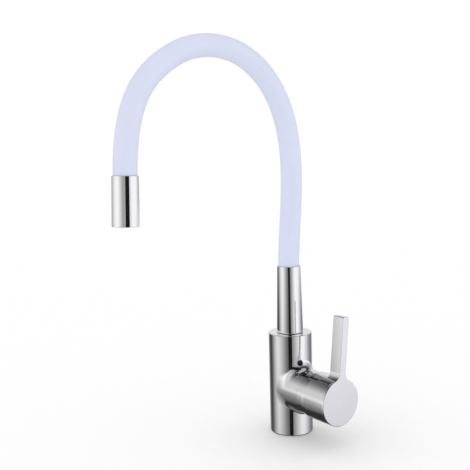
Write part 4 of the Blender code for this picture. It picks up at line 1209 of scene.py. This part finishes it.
def add_mix(nodes, links, factor, first, second):
    """Goes from the first colour to the second as the factor goes from 0 to 1."""
    mix = nodes.new("ShaderNodeMix")
    mix.data_type = "RGBA"
    links.new(factor, mix.inputs["Factor"])
    for socket, colour in zip((mix.inputs["A"], mix.inputs["B"]), (first, second)):
        if isinstance(colour, tuple):
            socket.default_value = colour
        else:
            links.new(colour, socket)
    return mix.outputs["Result"]


def add_rise(nodes, links, height, span):
    """Rises smoothly from 0 to 1 as the height goes through the span."""
    rise = nodes.new("ShaderNodeMapRange")
    rise.interpolation_type = "SMOOTHSTEP"
    set_inputs(rise, {"From Min": span[0], "From Max": span[1]})
    links.new(height, rise.inputs["Value"])
    return rise.outputs["Result"]


def make_world():
    """White to the camera, plain soft light on every surface, and the studio's walls in the chrome."""
    world = bpy.data.worlds.new("studio")
    bpy.context.scene.world = world
    world.use_nodes = True
    nodes = world.node_tree.nodes
    links = world.node_tree.links
    background = nodes["Background"]
    place = nodes.new("ShaderNodeTexCoord")
    parts = nodes.new("ShaderNodeSeparateXYZ")
    links.new(place.outputs["Generated"], parts.inputs["Vector"])
    view, _ = level_view()
    towards_camera = math.atan2(-view.y, -view.x)
    angle = add_math(nodes, links, "ARCTAN2", parts.outputs["Y"], parts.outputs["X"])
    angle = add_math(nodes, links, "SUBTRACT", angle, towards_camera - math.pi)
    share = add_math(nodes, links, "DIVIDE", angle, math.tau)
    heading = add_math(nodes, links, "FRACT", share, 0)
    height = parts.outputs["Z"]
    low = add_walls(nodes, links, heading, LOW_WALLS)
    strip = add_walls(nodes, links, heading, STRIP)
    level = add_walls(nodes, links, heading, LEVEL_WALLS)
    high = add_walls(nodes, links, heading, HIGH_WALLS)
    walls = add_mix(nodes, links, add_rise(nodes, links, height, STRIP_FOOT), low, strip)
    walls = add_mix(nodes, links, add_rise(nodes, links, height, STRIP_TOP), walls, level)
    walls = add_mix(nodes, links, add_rise(nodes, links, height, LEVEL_TOP), walls, high)
    studio = add_mix(nodes, links, add_rise(nodes, links, height, FAR_FLOOR), FLOOR_GREY, walls)
    studio = add_mix(nodes, links, add_rise(nodes, links, height, NEAR_FLOOR), DARK, studio)
    studio = add_mix(nodes, links, add_rise(nodes, links, height, CEILING), studio, DARK)
    studio = add_mix(nodes, links, add_rise(nodes, links, height, FOOT_FLOOR), FLOOR_GREY, studio)
    studio = add_mix(nodes, links, add_rise(nodes, links, height, OVERHEAD), studio, LAMP_GREY)
    rays = nodes.new("ShaderNodeLightPath")
    seen = add_mix(nodes, links, rays.outputs["Is Glossy Ray"], WHITE, studio)
    links.new(seen, background.inputs["Color"])
    set_inputs(background, {"Strength": 1.0})


dress_cad_nodes()
make_body()
make_button()
make_bonnet()
make_handle()
make_neck()
make_hose()
make_outlet_sleeve()
make_aerator()
make_floor()
make_card()
make_world()
make_camera()
bpy.context.scene.view_settings.view_transform = "Standard"
